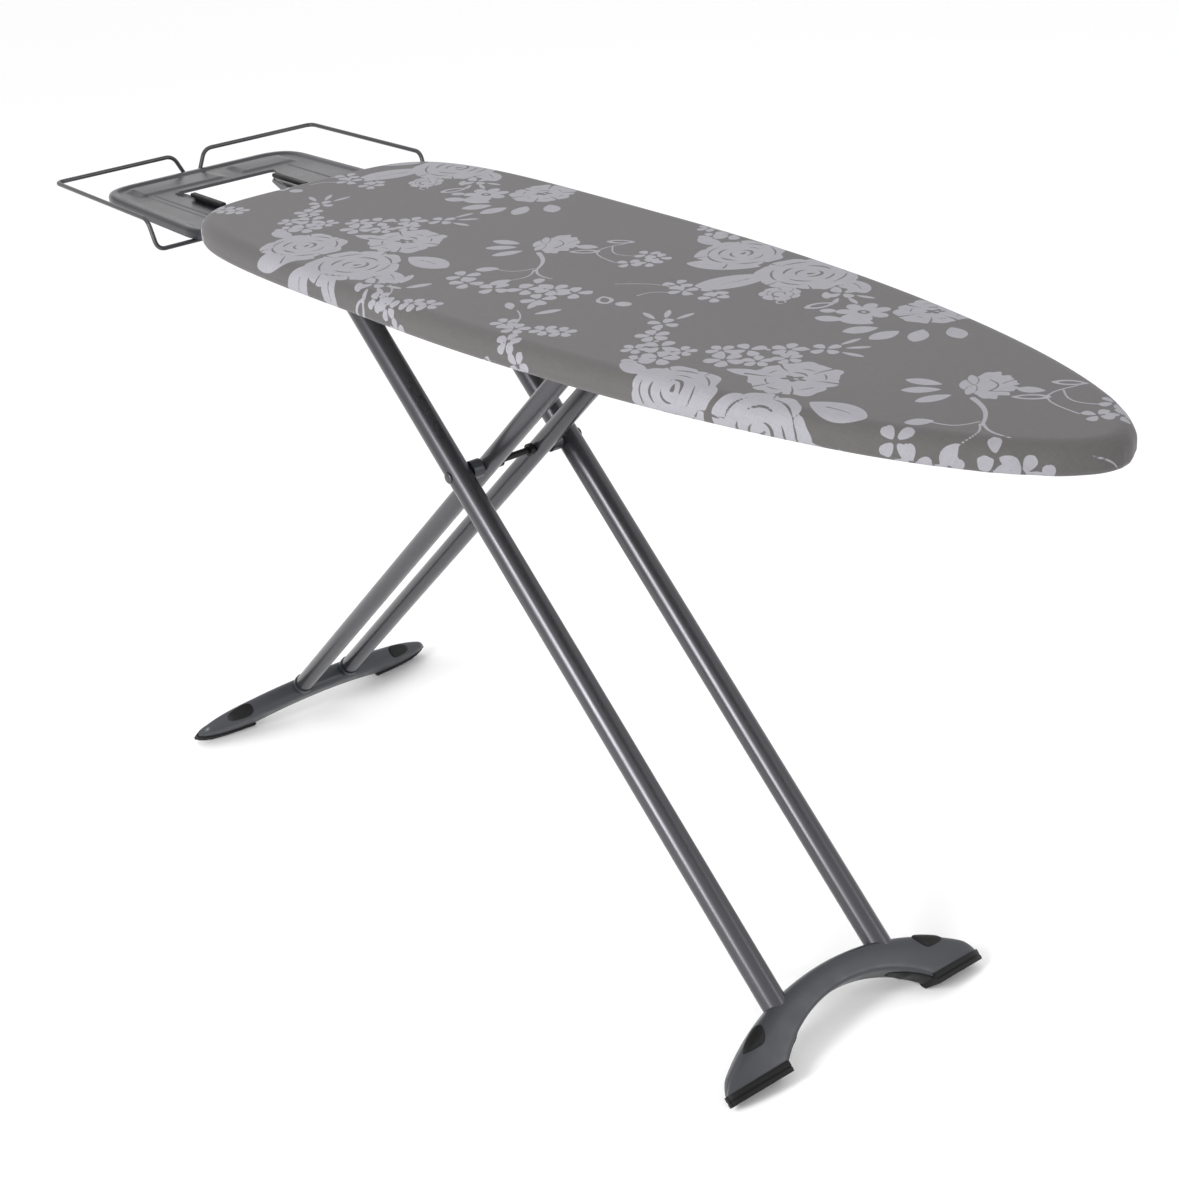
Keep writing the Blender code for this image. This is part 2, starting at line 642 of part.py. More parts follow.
def make_wide_leg():
    """Hinged under the board's tail, with its foot under the nose."""
    tube_end = UPPER_ARM + bow_edge(WIDE_HALF, *FRONT_BOW[:2]) + SOCKET - GAP
    for side, name in ((-1, "right"), (1, "left")):
        y = side * WIDE_HALF
        holes = [(0.0, PIN_RADIUS + GAP), (UPPER_ARM, AXLE_RADIUS + GAP)]
        leg_tube(f"wide_leg_tube_{name}", WIDE, -0.014, tube_end, y, WIDE_RADIUS, holes)
        inner = NARROW_HALF + NARROW_RADIUS + GAP
        outer = WIDE_HALF - WIDE_RADIUS - GAP
        ring(f"axle_spacer_{name}", (UPPER_ARM, side * inner, 0.0), (UPPER_ARM, side * outer, 0.0),
             0.0110, AXLE_RADIUS + GAP, "plastic", WIDE, sides=20)
        face = WIDE_HALF + WIDE_RADIUS + GAP
        cylinder(f"axle_cap_{name}", (UPPER_ARM, side * face, 0.0),
                 (UPPER_ARM, side * (face + 0.0045), 0.0), 0.0075, "painted", WIDE, sides=16)
    reach = WIDE_HALF + WIDE_RADIUS
    cylinder("centre_axle", (UPPER_ARM, -reach, 0.0), (UPPER_ARM, reach, 0.0), AXLE_RADIUS,
             "plastic", WIDE, sides=16)
    span = WIDE_HALF - WIDE_RADIUS - GAP
    ring("wide_leg_cross_tube", (0.062, -span, 0.0), (0.062, span, 0.0), 0.0100, 0.0088, "painted",
         WIDE)
    make_foot("front_foot", (WIDE, UPPER_ARM), FRONT_BOW, WIDE_HALF, WIDE_RADIUS, (0.006, 0.020))


def make_narrow_leg():
    """Hinged on the centre axle, with rollers in the guide rails and its foot at the rear."""
    tube_end = bow_edge(NARROW_HALF, *REAR_BOW[:2]) + SOCKET - GAP
    for side, name in ((-1, "right"), (1, "left")):
        y = side * NARROW_HALF
        holes = [(0.0, AXLE_RADIUS + GAP), (-UPPER_ARM, CROSSBAR_RADIUS + GAP)]
        leg_tube(f"narrow_leg_tube_{name}", NARROW, -UPPER_ARM - 0.014, tube_end, y, NARROW_RADIUS,
                 holes)
        inner = RAIL_INNER + 0.0008
        outer = RAIL_OUTER - RAIL_SHEET - 0.0008
        ring(f"guide_roller_{name}", (-UPPER_ARM, side * inner, 0.0),
             (-UPPER_ARM, side * outer, 0.0), ROLLER_RADIUS, CROSSBAR_RADIUS + GAP, "plastic", NARROW)
        face = NARROW_HALF - NARROW_RADIUS - GAP
        ring(f"axle_collar_{name}", (0.0, side * face, 0.0), (0.0, side * (face - 0.006), 0.0),
             0.0075, AXLE_RADIUS + GAP, "plastic", NARROW, sides=16)
        top = REAR_BOW[0] - 0.0010
        ring(f"foot_collar_{name}", (top - 0.006, y, 0.0), (top, y, 0.0), NARROW_RADIUS + 0.0018,
             NARROW_RADIUS + GAP, "plastic", NARROW)
    reach = RAIL_OUTER - RAIL_SHEET - 0.0008
    cylinder("narrow_leg_crossbar", (-UPPER_ARM, -reach, 0.0), (-UPPER_ARM, reach, 0.0),
             CROSSBAR_RADIUS, "zinc", NARROW)
    make_foot("rear_foot", (NARROW, 0.0), REAR_BOW, NARROW_HALF, NARROW_RADIUS, (-0.009, 0.009))


# ---- height lock --------------------------------------------------------------------------
NOTCH_PITCH = 0.024
LOCK_THICK = 0.0030
LOCK_LOW = PIVOT_Z + CROSSBAR_RADIUS + 0.0006 - LEVER_Z
LOCK_HIGH = LOCK_LOW + 0.0200
LOCK_REAR = SLIDE_MIN - 0.067 - LEVER_X
ROD_X = LOCK_REAR + 0.012
GRIP_START, GRIP_END = 0.098, 0.165


def make_lock():
    """A notched bar over the crossbar, hinged at its front end and lifted by a side grip."""
    notches = []
    spot = SLIDE_MIN
    while spot < SLIDE_MAX - 0.030:
        notches.append(spot - LEVER_X)
        spot += NOTCH_PITCH
    lower = [(LOCK_REAR, LOCK_LOW)]
    for x in notches:
        lower += [(x - 0.0075, LOCK_LOW), (x - 0.0060, LOCK_LOW + 0.0065),
                  (x + 0.0035, LOCK_LOW + 0.0065), (x + 0.0075, LOCK_LOW)]
    lower += [(0.012, LOCK_LOW), (0.012, LOCK_HIGH), (LOCK_REAR, LOCK_HIGH)]
    shape = bmesh.new()
    flat = [shape.verts.new((x, -LOCK_THICK / 2, z)) for x, z in lower]
    face = shape.faces.new(flat)
    lifted = bmesh.ops.extrude_face_region(shape, geom=[face])
    verts = [item for item in lifted["geom"] if isinstance(item, bmesh.types.BMVert)]
    bmesh.ops.translate(shape, verts=verts, vec=(0.0, LOCK_THICK, 0.0))
    made = from_bmesh("lock_bar", shape, "zinc", LEVER)
    bore(made, (0.0, -0.01, 0.0), (0.0, 0.01, 0.0), 0.0030 + GAP, LEVER)
    rod_z = LOCK_HIGH - 0.006
    bore(made, (ROD_X, -0.01, rod_z), (ROD_X, 0.01, rod_z), 0.0030 + GAP, LEVER)
    cylinder("lever_rod", (ROD_X, -0.012, rod_z), (ROD_X, GRIP_END - 0.012, rod_z), 0.0030, "zinc",
             LEVER, sides=16)
    grip = cylinder("lever_grip", (ROD_X, GRIP_START, rod_z), (ROD_X, GRIP_END, rod_z), 0.0085,
                    "plastic", LEVER)
    bore(grip, (ROD_X, GRIP_START - 0.01, rod_z), (ROD_X, GRIP_END - 0.0115, rod_z), 0.0030 + GAP,
         LEVER)


def make_lever_bracket():
    """The U bracket, pin and torsion spring at the lock bar's hinge, hung from the front brace."""
    x, z = LEVER_X, LEVER_Z
    made = box("lever_bracket", (x - 0.012, -0.012, z - 0.010), (x + 0.012, 0.012, HANG_TOP), "zinc")
    hollow = box("lever_bracket_hollow", (x - 0.03, -0.010, z - 0.02),
                 (x + 0.03, 0.010, HANG_TOP - 0.002), None, where=CUTTERS)
    cut(made, hollow)
    bore(made, (x, -0.02, z), (x, 0.02, z), 0.0030 + GAP)
    cylinder("lever_pin", (x, -0.0150, z), (x, 0.0150, z), 0.0030, "zinc", sides=16)
    turns, per_turn = 4, 12
    route = []
    for step in range(turns * per_turn + 1):
        turn = 2 * math.pi * step / per_turn
        y = 0.0030 + 0.0058 * step / (turns * per_turn)
        route.append((x + 0.0046 * math.cos(turn), y, z + 0.0046 * math.sin(turn)))
    rod("lever_spring", route, 0.0006, "zinc", bend=None)


make_deck()
make_braces()
make_hinge_brackets()
make_rails()
make_tray()
make_tray_pads()
make_tray_arms()
make_wires()
make_wide_leg()
make_narrow_leg()
make_lock()
make_lever_bracket()
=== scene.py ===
"""Looks of the folding ironing board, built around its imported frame.

+X points to the nose of the board, +Y to its left side and +Z up. Lengths are metres.
"""
import json
from math import atan2, copysign, cos, exp, hypot, pi, radians, sin, sqrt

import bmesh
import bpy
import numpy as np
from mathutils import Matrix, Vector


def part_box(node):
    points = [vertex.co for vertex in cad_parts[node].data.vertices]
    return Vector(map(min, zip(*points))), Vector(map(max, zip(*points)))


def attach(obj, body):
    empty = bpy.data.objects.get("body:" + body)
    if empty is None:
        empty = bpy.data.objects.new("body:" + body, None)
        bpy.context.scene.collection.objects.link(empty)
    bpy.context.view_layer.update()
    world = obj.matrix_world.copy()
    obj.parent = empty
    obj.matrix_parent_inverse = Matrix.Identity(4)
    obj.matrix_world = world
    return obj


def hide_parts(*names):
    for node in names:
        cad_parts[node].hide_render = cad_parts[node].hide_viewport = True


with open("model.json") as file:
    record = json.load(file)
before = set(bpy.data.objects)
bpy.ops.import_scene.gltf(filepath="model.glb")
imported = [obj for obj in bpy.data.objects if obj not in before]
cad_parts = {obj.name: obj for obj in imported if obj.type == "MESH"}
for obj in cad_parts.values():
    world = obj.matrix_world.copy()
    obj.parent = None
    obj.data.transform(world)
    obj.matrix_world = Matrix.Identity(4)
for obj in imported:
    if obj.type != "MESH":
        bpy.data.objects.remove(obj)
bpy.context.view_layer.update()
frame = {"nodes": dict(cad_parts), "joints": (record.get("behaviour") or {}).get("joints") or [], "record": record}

JOINTS = {joint["name"]: Vector(joint["pos_m"]) for joint in frame["joints"]}

# ---- measures taken from the frame --------------------------------------------------------
COVER_LOW, COVER_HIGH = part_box("cover")
TAIL, NOSE, TOP, HEM = COVER_LOW.x, COVER_HIGH.x, COVER_HIGH.z, COVER_LOW.z
HALF_WIDTH = COVER_HIGH.y
WIDEST = TAIL + 0.487                   # where the board is widest
SPINE = (TAIL + 0.16, NOSE - 0.22)      # ends of the line that flat fills run to
TAIL_POWERS = (5.0, 5.0)                # the board's superellipse powers, along and across
NOSE_POWERS = (1.9, 1.90)
FELT_LOW, FELT_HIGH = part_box("felt_pad")
PANEL_LOW, PANEL_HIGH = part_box("top_panel")
RIM_LOW, RIM_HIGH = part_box("rim_frame_left")
TRAY_LOW, TRAY_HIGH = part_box("iron_rest_tray")
HINGE, AXLE = JOINTS["wide_leg_fold"], JOINTS["narrow_leg_fold"]
LEG_ANGLE = atan2(HINGE.z - AXLE.z, AXLE.x - HINGE.x)
SIDES = ((-1, "right"), (1, "left"))    # signs along Y and the names that go with them


# ---- camera -------------------------------------------------------------------------------
AIM = Vector((0.0721, 0.0534, 0.3529))
DISTANCE = 2.5662
AZIMUTH, ELEVATION, ROLL = (radians(a) for a in (51.422, 26.113, -3.467))
LENS, SHIFT = 67.56, (-0.0509, 0.0254)


def make_camera():
    level = cos(ELEVATION)
    back = Vector((sin(AZIMUTH) * level, -cos(AZIMUTH) * level, sin(ELEVATION)))
    right = (-back).cross(Vector((0, 0, 1))).normalized()
    up = right.cross(-back)
    turned = right * cos(ROLL) + up * sin(ROLL)
    upper = up * cos(ROLL) - right * sin(ROLL)
    lens = bpy.data.cameras.new("camera")
    lens.lens, lens.sensor_width = LENS, 36.0
    lens.shift_x, lens.shift_y = SHIFT
    lens.clip_start = 0.05
    camera = bpy.data.objects.new("camera", lens)
    turn = Matrix((turned, upper, back)).transposed().to_4x4()
    camera.matrix_world = Matrix.Translation(AIM + back * DISTANCE) @ turn
    bpy.context.scene.collection.objects.link(camera)
    bpy.context.scene.camera = camera


# ---- node materials -----------------------------------------------------------------------
class Shader:
    """A short way to write a node tree: add a node, set its inputs, link sockets."""

    def __init__(self, name):
        self.material = bpy.data.materials.new(name)
        self.material.use_nodes = True
        self.tree = self.material.node_tree
        self.out = self.tree.nodes["Principled BSDF"]
        self.place = self.node("ShaderNodeTexCoord").outputs["Object"]

    def node(self, kind, settings=None, **inputs):
        made = self.tree.nodes.new(kind)
        for key, value in (settings or {}).items():
            setattr(made, key, value)
        for key, value in inputs.items():
            self.feed(made, key.replace("_", " "), value)
        return made

    def feed(self, node, key, value):
        socket = node.inputs[int(key) if key.isdigit() else key]
        if isinstance(value, bpy.types.NodeSocket):
            self.tree.links.new(value, socket)
        else:
            socket.default_value = value

    def set(self, **inputs):
        for key, value in inputs.items():
            self.feed(self.out, key.replace("_", " "), value)

    def math(self, operation, a, b=0.0, c=0.0):
        made = self.node("ShaderNodeMath", {"operation": operation})
        for step, value in enumerate((a, b, c)):
            self.feed(made, str(step), value)
        return made.outputs[0]

    def noise(self, scale, detail=3.0, stretch=None, roughness=0.5, at=None):
        where = at or self.place
        if stretch:
            turn = self.node("ShaderNodeMapping", Scale=stretch, Vector=where)
            where = turn.outputs["Vector"]
        made = self.node("ShaderNodeTexNoise", Scale=scale, Detail=detail, Roughness=roughness,
                         Vector=where)
        return made.outputs["Fac"]

    def ramp(self, value, low, high, start=0.0, end=1.0):
        made = self.node("ShaderNodeMapRange", Value=value)
        for key, number in (("From Min", start), ("From Max", end), ("To Min", low),
                            ("To Max", high)):
            made.inputs[key].default_value = number
        return made.outputs["Result"]

    def mix(self, share, a, b):
        made = self.node("ShaderNodeMix", {"data_type": "RGBA"})
        self.feed(made, "0", share)
        for step, value in ((6, a), (7, b)):
            self.feed(made, str(step), value if isinstance(value, bpy.types.NodeSocket)
                      else (*value, 1.0))
        return made.outputs[2]

    def tint(self, colour, share, amount):
        """colour made lighter and darker by amount, following share."""
        dark = tuple(c * (1 - amount) for c in colour)
        light = tuple(c * (1 + amount) for c in colour)
        return self.mix(share, dark, light)

    def bump(self, height, strength, distance):
        made = self.node("ShaderNodeBump", Height=height, Strength=strength, Distance=distance)
        self.set(Normal=made.outputs["Normal"])


def paint(name, colour, roughness, metallic, grain=420.0, coat=0.25):
    """Powder coat: a fine orange peel, faint mottling, and dust in the roughness."""
    s = Shader(name)
    s.set(Base_Color=s.tint(colour, s.noise(7.0, 2.0), 0.05), Metallic=metallic,
          Coat_Weight=coat, Coat_Roughness=0.22)
    s.set(Roughness=s.ramp(s.noise(18.0, 3.0), roughness - 0.03, roughness + 0.04, 0.3, 0.7))
    s.bump(s.noise(grain, 2.0), 0.03, 0.00005)
    return s.material


def plated(name, colour, roughness):
    """Zinc plating: bright, with drawn lines and a cloudy patina."""
    s = Shader(name)
    cloud = s.noise(28.0, 5.0)
    s.set(Base_Color=s.tint(colour, cloud, 0.18), Metallic=1.0)
    s.set(Roughness=s.ramp(cloud, roughness - 0.08, roughness + 0.12, 0.3, 0.7))
    s.bump(s.noise(240.0, 2.0, (1.0, 12.0, 12.0)), 0.2, 0.00008)
    return s.material


def moulded(name, colour, roughness, grain=1400.0, rough=0.30):
    """Moulded plastic or rubber: a fine etched grain and slightly uneven sheen."""
    s = Shader(name)
    s.set(Specular_IOR_Level=0.25 if max(colour) < 0.02 else 0.45)
    s.set(Base_Color=s.tint(colour, s.noise(16.0, 3.0), 0.12))
    s.set(Roughness=s.ramp(s.noise(60.0, 4.0), roughness - 0.05, roughness + 0.06, 0.3, 0.7))
    s.bump(s.noise(grain, 2.0), rough, 0.00015)
    return s.material


WEAVE = 2 * pi / 0.00085           # yarns of the cover, as waves over a metre
GROUND = ((0.067, 0.0620, 0.0620), (0.079, 0.0735, 0.0730))       # darkest and lightest
FLOWER = ((0.228, 0.223, 0.245), (0.256, 0.251, 0.274))


def printed_cotton():
    """Plain weave in taupe grey; the attribute print is positive inside the light flowers."""
    s = Shader("printed_cotton")
    cloth = s.node("ShaderNodeAttribute", {"attribute_name": "cloth"}).outputs["Vector"]
    depth = s.node("ShaderNodeAttribute", {"attribute_name": "print"}).outputs["Fac"]
    split = s.node("ShaderNodeSeparateXYZ", Vector=cloth)
    warp, weft = (s.math("SINE", s.math("MULTIPLY", split.outputs[way], WEAVE)) for way in "XY")
    yarn = s.math("MULTIPLY", warp, weft)
    slub = s.noise(1.0, 3.0, (60.0, 900.0, 1.0), at=cloth)
    cross = s.noise(1.0, 3.0, (900.0, 60.0, 1.0), at=cloth)
    uneven = s.math("MULTIPLY_ADD", s.math("ADD", slub, cross), 0.5, s.math("MULTIPLY", yarn, 0.03))
    edge = s.math("ADD", depth, s.ramp(s.noise(900.0, 2.0, at=cloth), -0.00018, 0.00018))
    share = s.ramp(edge, 0.0, 1.0, -0.00022, 0.00022)
    ground = s.mix(s.noise(3.5, 3.0, at=cloth), *GROUND)
    flower = s.mix(s.noise(22.0, 3.0, at=cloth), *FLOWER)
    shade = s.node("ShaderNodeHueSaturation", Color=s.mix(share, ground, flower),
                   Value=s.ramp(uneven, 0.88, 1.12, 0.3, 0.7))
    s.set(Base_Color=shade.outputs["Color"], Roughness=0.82, Sheen_Weight=0.16,
          Sheen_Roughness=0.45, Sheen_Tint=(0.9, 0.9, 0.95, 1.0))
    s.bump(s.math("MULTIPLY_ADD", yarn, 0.5, uneven), 0.35, 0.00012)
    return s.material


def felt():
    s = Shader("felt")
    s.set(Base_Color=s.tint((0.60, 0.58, 0.54), s.noise(140.0, 5.0), 0.14), Roughness=0.95,
          Sheen_Weight=0.3)
    s.bump(s.noise(700.0, 6.0, roughness=0.75), 0.6, 0.0006)
    return s.material


def elastic():
    s = Shader("elastic_binding")
    s.set(Base_Color=s.tint((0.155, 0.150, 0.148), s.noise(400.0, 4.0), 0.16), Roughness=0.88,
          Sheen_Weight=0.2)
    s.bump(s.noise(900.0, 3.0), 0.5, 0.0004)
    return s.material


LOOKS = {
    "painted_steel": paint("painted_steel", (0.062, 0.060, 0.067), 0.30, 0.75),
    "tray_steel": paint("tray_steel", (0.040, 0.039, 0.046), 0.30, 0.80, 360.0, 0.30),
    "wire": paint("wire_paint", (0.050, 0.050, 0.055), 0.34, 0.65),
    "zinc": plated("zinc", (0.34, 0.34, 0.335), 0.40),
    "plastic": moulded("black_plastic", (0.005, 0.005, 0.006), 0.40),
    "rubber": moulded("black_rubber", (0.003, 0.003, 0.0035), 0.50, 900.0, 0.45),
    "silicone": moulded("black_silicone", (0.003, 0.003, 0.0035), 0.46),
    "foot_shell": moulded("grey_foot_shell", (0.031, 0.033, 0.039), 0.36, 1100.0, 0.20),
    "felt": felt(),
    "cover_fabric": printed_cotton(),
}
ELASTIC = elastic()


# ---- mesh helpers -------------------------------------------------------------------------
def finished(obj, body, slot, nodes=(), look=None):
    """Give a new piece its material, its body and the frame nodes that it stands for."""
    obj.data.materials.clear()
    obj.data.materials.append(look or LOOKS[slot])
    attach(obj, body)
    if nodes:
        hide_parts(*nodes)
    return obj


def mesh_object(name, points, faces, smooth=True):
    """An object from an array of points and a list of faces."""
    mesh = bpy.data.meshes.new(name)
    mesh.from_pydata([tuple(p) for p in points], [], faces)
    mesh.update()
    if smooth:
        mesh.shade_smooth()
    made = bpy.data.objects.new(name, mesh)
    bpy.context.scene.collection.objects.link(made)
    return made


def circle(sides):
    """The turns of points at equal steps round a circle."""
    return [2 * pi * step / sides for step in range(sides)]


def quads(rows, count, closed=True):
    """Faces between rows of count points each, row after row."""
    faces = []
    for base in range(0, (rows - 1) * count, count):
        for step in range(count if closed else count - 1):
            ahead = (step + 1) % count
            faces.append((base + step, base + ahead, base + count + ahead, base + count + step))
    return faces


def tube_faces(rows, count, closed=False):
    """Faces of a tube of rows of count points, which has end caps or closes on itself."""
    last = (rows - 1) * count
    if closed:
        ends = [(last + a, last + (a + 1) % count, (a + 1) % count, a) for a in range(count)]
    else:
        ends = [tuple(reversed(range(count))), tuple(range(last, last + count))]
    return quads(rows, count) + ends


def raised(flat, height):
    """Flat points lifted to one height, or each to its own."""
    return np.column_stack([flat, np.broadcast_to(height, len(flat))])


def band(upper, lower, count):
    """Faces between two closed rows whose points start at upper and at lower."""
    return [(upper + a, lower + a, lower + (a + 1) % count, upper + (a + 1) % count)
            for a in range(count)]


def outward(obj):
    """Turn every face of a closed shape outward."""
    shape = bmesh.new()
    shape.from_mesh(obj.data)
    bmesh.ops.recalc_face_normals(shape, faces=shape.faces)
    shape.to_mesh(obj.data)
    shape.free()
    return obj


def solid(name, points, faces, sharp=None):
    """A smooth piece, with sharp edges where its faces meet at more than sharp degrees."""
    made = outward(mesh_object(name, points, faces))
    if sharp:
        made.data.set_sharp_from_angle(angle=radians(sharp))
    return made


# ---- outline of the board -----------------------------------------------------------------
def outline_law(rear):
    """The outline's powers along and across, and its reach from the widest place."""
    return (np.where(rear, TAIL_POWERS[0], NOSE_POWERS[0]),
            np.where(rear, TAIL_POWERS[1], NOSE_POWERS[1]),
            np.where(rear, WIDEST - TAIL, NOSE - WIDEST))


def half_outline(count, fine=4000):
    """count points at equal steps along the +Y side, from the tail's middle to the nose's tip."""
    turn = np.linspace(-pi / 2, pi / 2, fine)
    along, across, length = outline_law(turn < 0)
    x = WIDEST + np.sign(turn) * length * np.abs(np.sin(turn)) ** (2 / along)
    y = HALF_WIDTH * np.clip(np.cos(turn), 0.0, 1.0) ** (2 / across)
    y[0] = y[-1] = 0.0
    run = np.concatenate([[0.0], np.cumsum(np.hypot(np.diff(x), np.diff(y)))])
    spots = np.linspace(0.0, run[-1], count)
    return np.stack([np.interp(spots, run, x), np.interp(spots, run, y)], 1)


def board_loop(count):
    """The whole outline, counterclockwise from the nose's tip, and its outward normals."""
    upper = half_outline(count // 2 + 1)[::-1]
    lower = upper[-2:0:-1] * [1.0, -1.0]
    loop = np.concatenate([upper, lower])
    way = np.roll(loop, -1, 0) - np.roll(loop, 1, 0)
    way /= np.linalg.norm(way, axis=1)[:, None]
    return loop, np.stack([way[:, 1], -way[:, 0]], 1)


def filled(loop, rows):
    """Points and faces of a flat fill: each outline point runs to a spine along the middle.

    The outline is the last of the rows, and the spine's own points follow it.
    """
    count = len(loop)
    spine = np.stack([np.clip(loop[:, 0], *SPINE), 0.0 * loop[:, 1]], 1)
    share = (np.arange(1, rows + 1) / rows)[:, None, None]
    points = (spine + (loop - spine) * share).reshape(-1, 2)
    centre, keys, index = [], [], {}
    for spot in spine:
        key = round(float(spot[0]), 7)
        if key not in index:
            index[key] = rows * count + len(centre)
            centre.append(spot)
        keys.append(index[key])
    faces = quads(rows, count)
    for step in range(count):
        ahead = (step + 1) % count
        if keys[step] == keys[ahead]:
            faces.append((keys[step], ahead, step))
        else:
            faces.append((keys[step], keys[ahead], ahead, step))
    return np.concatenate([points, centre]), faces


# ---- print of the cover -------------------------------------------------------------------
def unit(turn):
    return np.array([cos(turn), sin(turn)])


def around(start, count):
    """count turns at equal steps round a flower, from start."""
    return [start + turn for turn in circle(count)]


def to_segment(p, a, way):
    """For each point: how far along the segment its nearest spot lies, 0 to 1, and how far off."""
    t = np.clip(((p - a) @ way) / max(way @ way, 1e-12), 0.0, 1.0)
    return t, np.hypot(*(p - a - t[:, None] * way).T)


class Print:
    """How deep each point of the cloth lies inside the printed shapes: positive is inside."""

    def __init__(self, cloth):
        self.cloth = cloth
        self.depth = np.full(len(cloth), -0.02)
        self.origin = np.zeros(2)       # of the motif that is being printed

    def local(self, at, turn, reach):
        """Indices of the cloth near a spot, and their places as the shape sees them."""
        away = self.cloth - self.origin - at
        near = np.nonzero((np.abs(away) < reach).all(1))[0]
        away = away[near]
        c, s = cos(turn), sin(turn)
        return near, np.stack([away[:, 0] * c + away[:, 1] * s, away[:, 1] * c - away[:, 0] * s], 1)

    def put(self, shape, at, turn=0.0, gap=0.0, reach=0.08):
        """Print a shape, with a bare line of width gap round it where it lies on others."""
        near, places = self.local(at, turn, reach)
        inside = shape(places)
        under = self.depth[near]
        if gap:
            under = np.minimum(under, -(inside + gap))
        self.depth[near] = np.maximum(under, inside)

    def cut(self, shape, at, turn=0.0, reach=0.08):
        """Leave a shape bare."""
        near, places = self.local(at, turn, reach)
        self.depth[near] = np.minimum(self.depth[near], -shape(places))


LINE = 0.0019                           # bare lines between petals
REACH_ALL = 2.0                         # covers the whole cloth


def blob(long, wide, lobes=0, wave=0.0, phase=0.0):
    """An oval with a wavy edge."""
    def inside(p):
        r = np.hypot(p[:, 0] / long, p[:, 1] / wide)
        turn = np.arctan2(p[:, 1] / wide, p[:, 0] / long)
        return (1.0 + wave * np.cos(lobes * turn + phase) - r) * min(long, wide)
    return inside


def leaf(long, wide):
    """A pointed leaf from the origin along +X."""
    def inside(p):
        t = p[:, 0] / long
        half = wide * 2.6 * np.clip(t, 0.0, 1.0) ** 0.9 * np.clip(1.0 - t, 0.0, 1.0) ** 0.75
        past = np.maximum(np.maximum(-t, t - 1.0), 0.0) * long
        return (half - np.abs(p[:, 1])) * 0.9 - past
    return inside


def petal(long, wide, notch=0.0):
    """A round-ended petal from the origin along +X, with an optional notch at its end."""
    def inside(p):
        t = np.clip(p[:, 0] / long, 0.0, 1.0)
        half = wide * 1.22 * t ** 0.62 * np.clip(1.0 - t ** 3.5, 0.0, 1.0) ** 0.6
        past = np.maximum(np.maximum(-p[:, 0], p[:, 0] - long), 0.0)
        depth = half - np.abs(p[:, 1]) - past
        if notch:
            depth = np.minimum(depth, np.hypot(p[:, 0] - long * 1.08, p[:, 1]) - notch)
        return depth
    return inside


def ribbon(points, half):
    """A line through points; half gives its half width, from 0 at its start to 1 at its end."""
    spots = np.array(points, float)
    ways = spots[1:] - spots[:-1]

    def inside(p):
        best = np.full(len(p), -1.0)
        for step, way in enumerate(ways):
            t, off = to_segment(p, spots[step], way)
            best = np.maximum(best, half((step + t) / len(ways)) - off)
        return best
    return inside


def stroke(points, start, end=None):
    """A line whose half width goes from start to end."""
    end = start if end is None else end
    return ribbon(points, lambda t: start + (end - start) * t)


def bow(a, b, bulge, steps=10):
    """Points of a shallow arc from a to b that swings out by bulge of its length."""
    a, b = np.array(a, float), np.array(b, float)
    side = np.array([a[1] - b[1], b[0] - a[0]]) * bulge
    t = np.linspace(0.0, 1.0, steps)[:, None]
    return a + (b - a) * t + side * np.sin(t * pi)


def stem(ink, a, b, bulge, start=0.0013, end=0.0009):
    ink.put(stroke(bow(a, b, bulge), start, end), (0.0, 0.0), reach=REACH_ALL)


def spiral(size, turns, start=0.25, steps=26):
    t = np.linspace(0.0, 1.0, steps)
    turn = t * turns * 2 * pi
    r = size * (start + (1.0 - start) * t)
    return np.stack([r * np.cos(turn), r * np.sin(turn)], 1)


def crescent(points, wide):
    """A line that is thickest in its middle."""
    return ribbon(points, lambda t: wide * np.clip(np.sin(pi * t), 0.0, 1.0) ** 0.7)


def arc(radius, start, end, squash=1.0, steps=14):
    turn = np.linspace(start, end, steps)
    return np.stack([radius * np.cos(turn), radius * squash * np.sin(turn)], 1)


def bloom_outline(ink, at, size, turn, rng, lobes, frill):
    """The lobed outline of an open flower."""
    ink.put(blob(size * 0.66, size * 0.62), at, turn, LINE)
    for step in range(lobes):
        way = turn + 2 * pi * (step + rng.uniform(-0.16, 0.16)) / lobes
        tall, broad = size * rng.uniform(0.34, 0.42), size * rng.uniform(0.36, 0.50)
        shape = blob(tall, broad, 5, frill, rng.uniform(0.0, 6.0))
        ink.put(shape, at + unit(way) * size * rng.uniform(0.52, 0.62), way, 0.0)


def rose(ink, at, size, turn, seed):
    """An open rose: a lobed outline, petal edges drawn as fine crescents, a folded heart."""
    rng = np.random.default_rng(seed)
    bloom_outline(ink, at, size, turn, rng, 7, 0.05)
    for radius, count, reach in ((0.70, 5, 0.52), (0.47, 4, 0.62)):
        start = rng.uniform(0.0, 6.0)
        for base in around(start, count):
            way = base + rng.uniform(-0.2, 0.2)
            span = reach * rng.uniform(0.75, 1.15)
            line = arc(size * radius, -span, span, rng.uniform(0.85, 1.1))
            ink.cut(crescent(line, size * rng.uniform(0.018, 0.032)), at, way)
            if radius > 0.5:
                edge = [(size * 0.72, 0.0), (size * 0.86, size * 0.05), (size * 1.02, size * 0.06)]
                ink.cut(stroke(edge, 0.0005, 0.0014), at, way + span)
    ink.cut(crescent(arc(size * 0.25, -1.9, 0.9, 0.8), size * 0.035), at, turn + 0.5)
    ink.cut(crescent(arc(size * 0.24, 1.6, 3.6, 0.9), size * 0.026), at, turn + 0.5)
    ink.cut(blob(size * 0.085, size * 0.045, 3, 0.2), at + unit(turn) * size * 0.04, turn + 0.7)


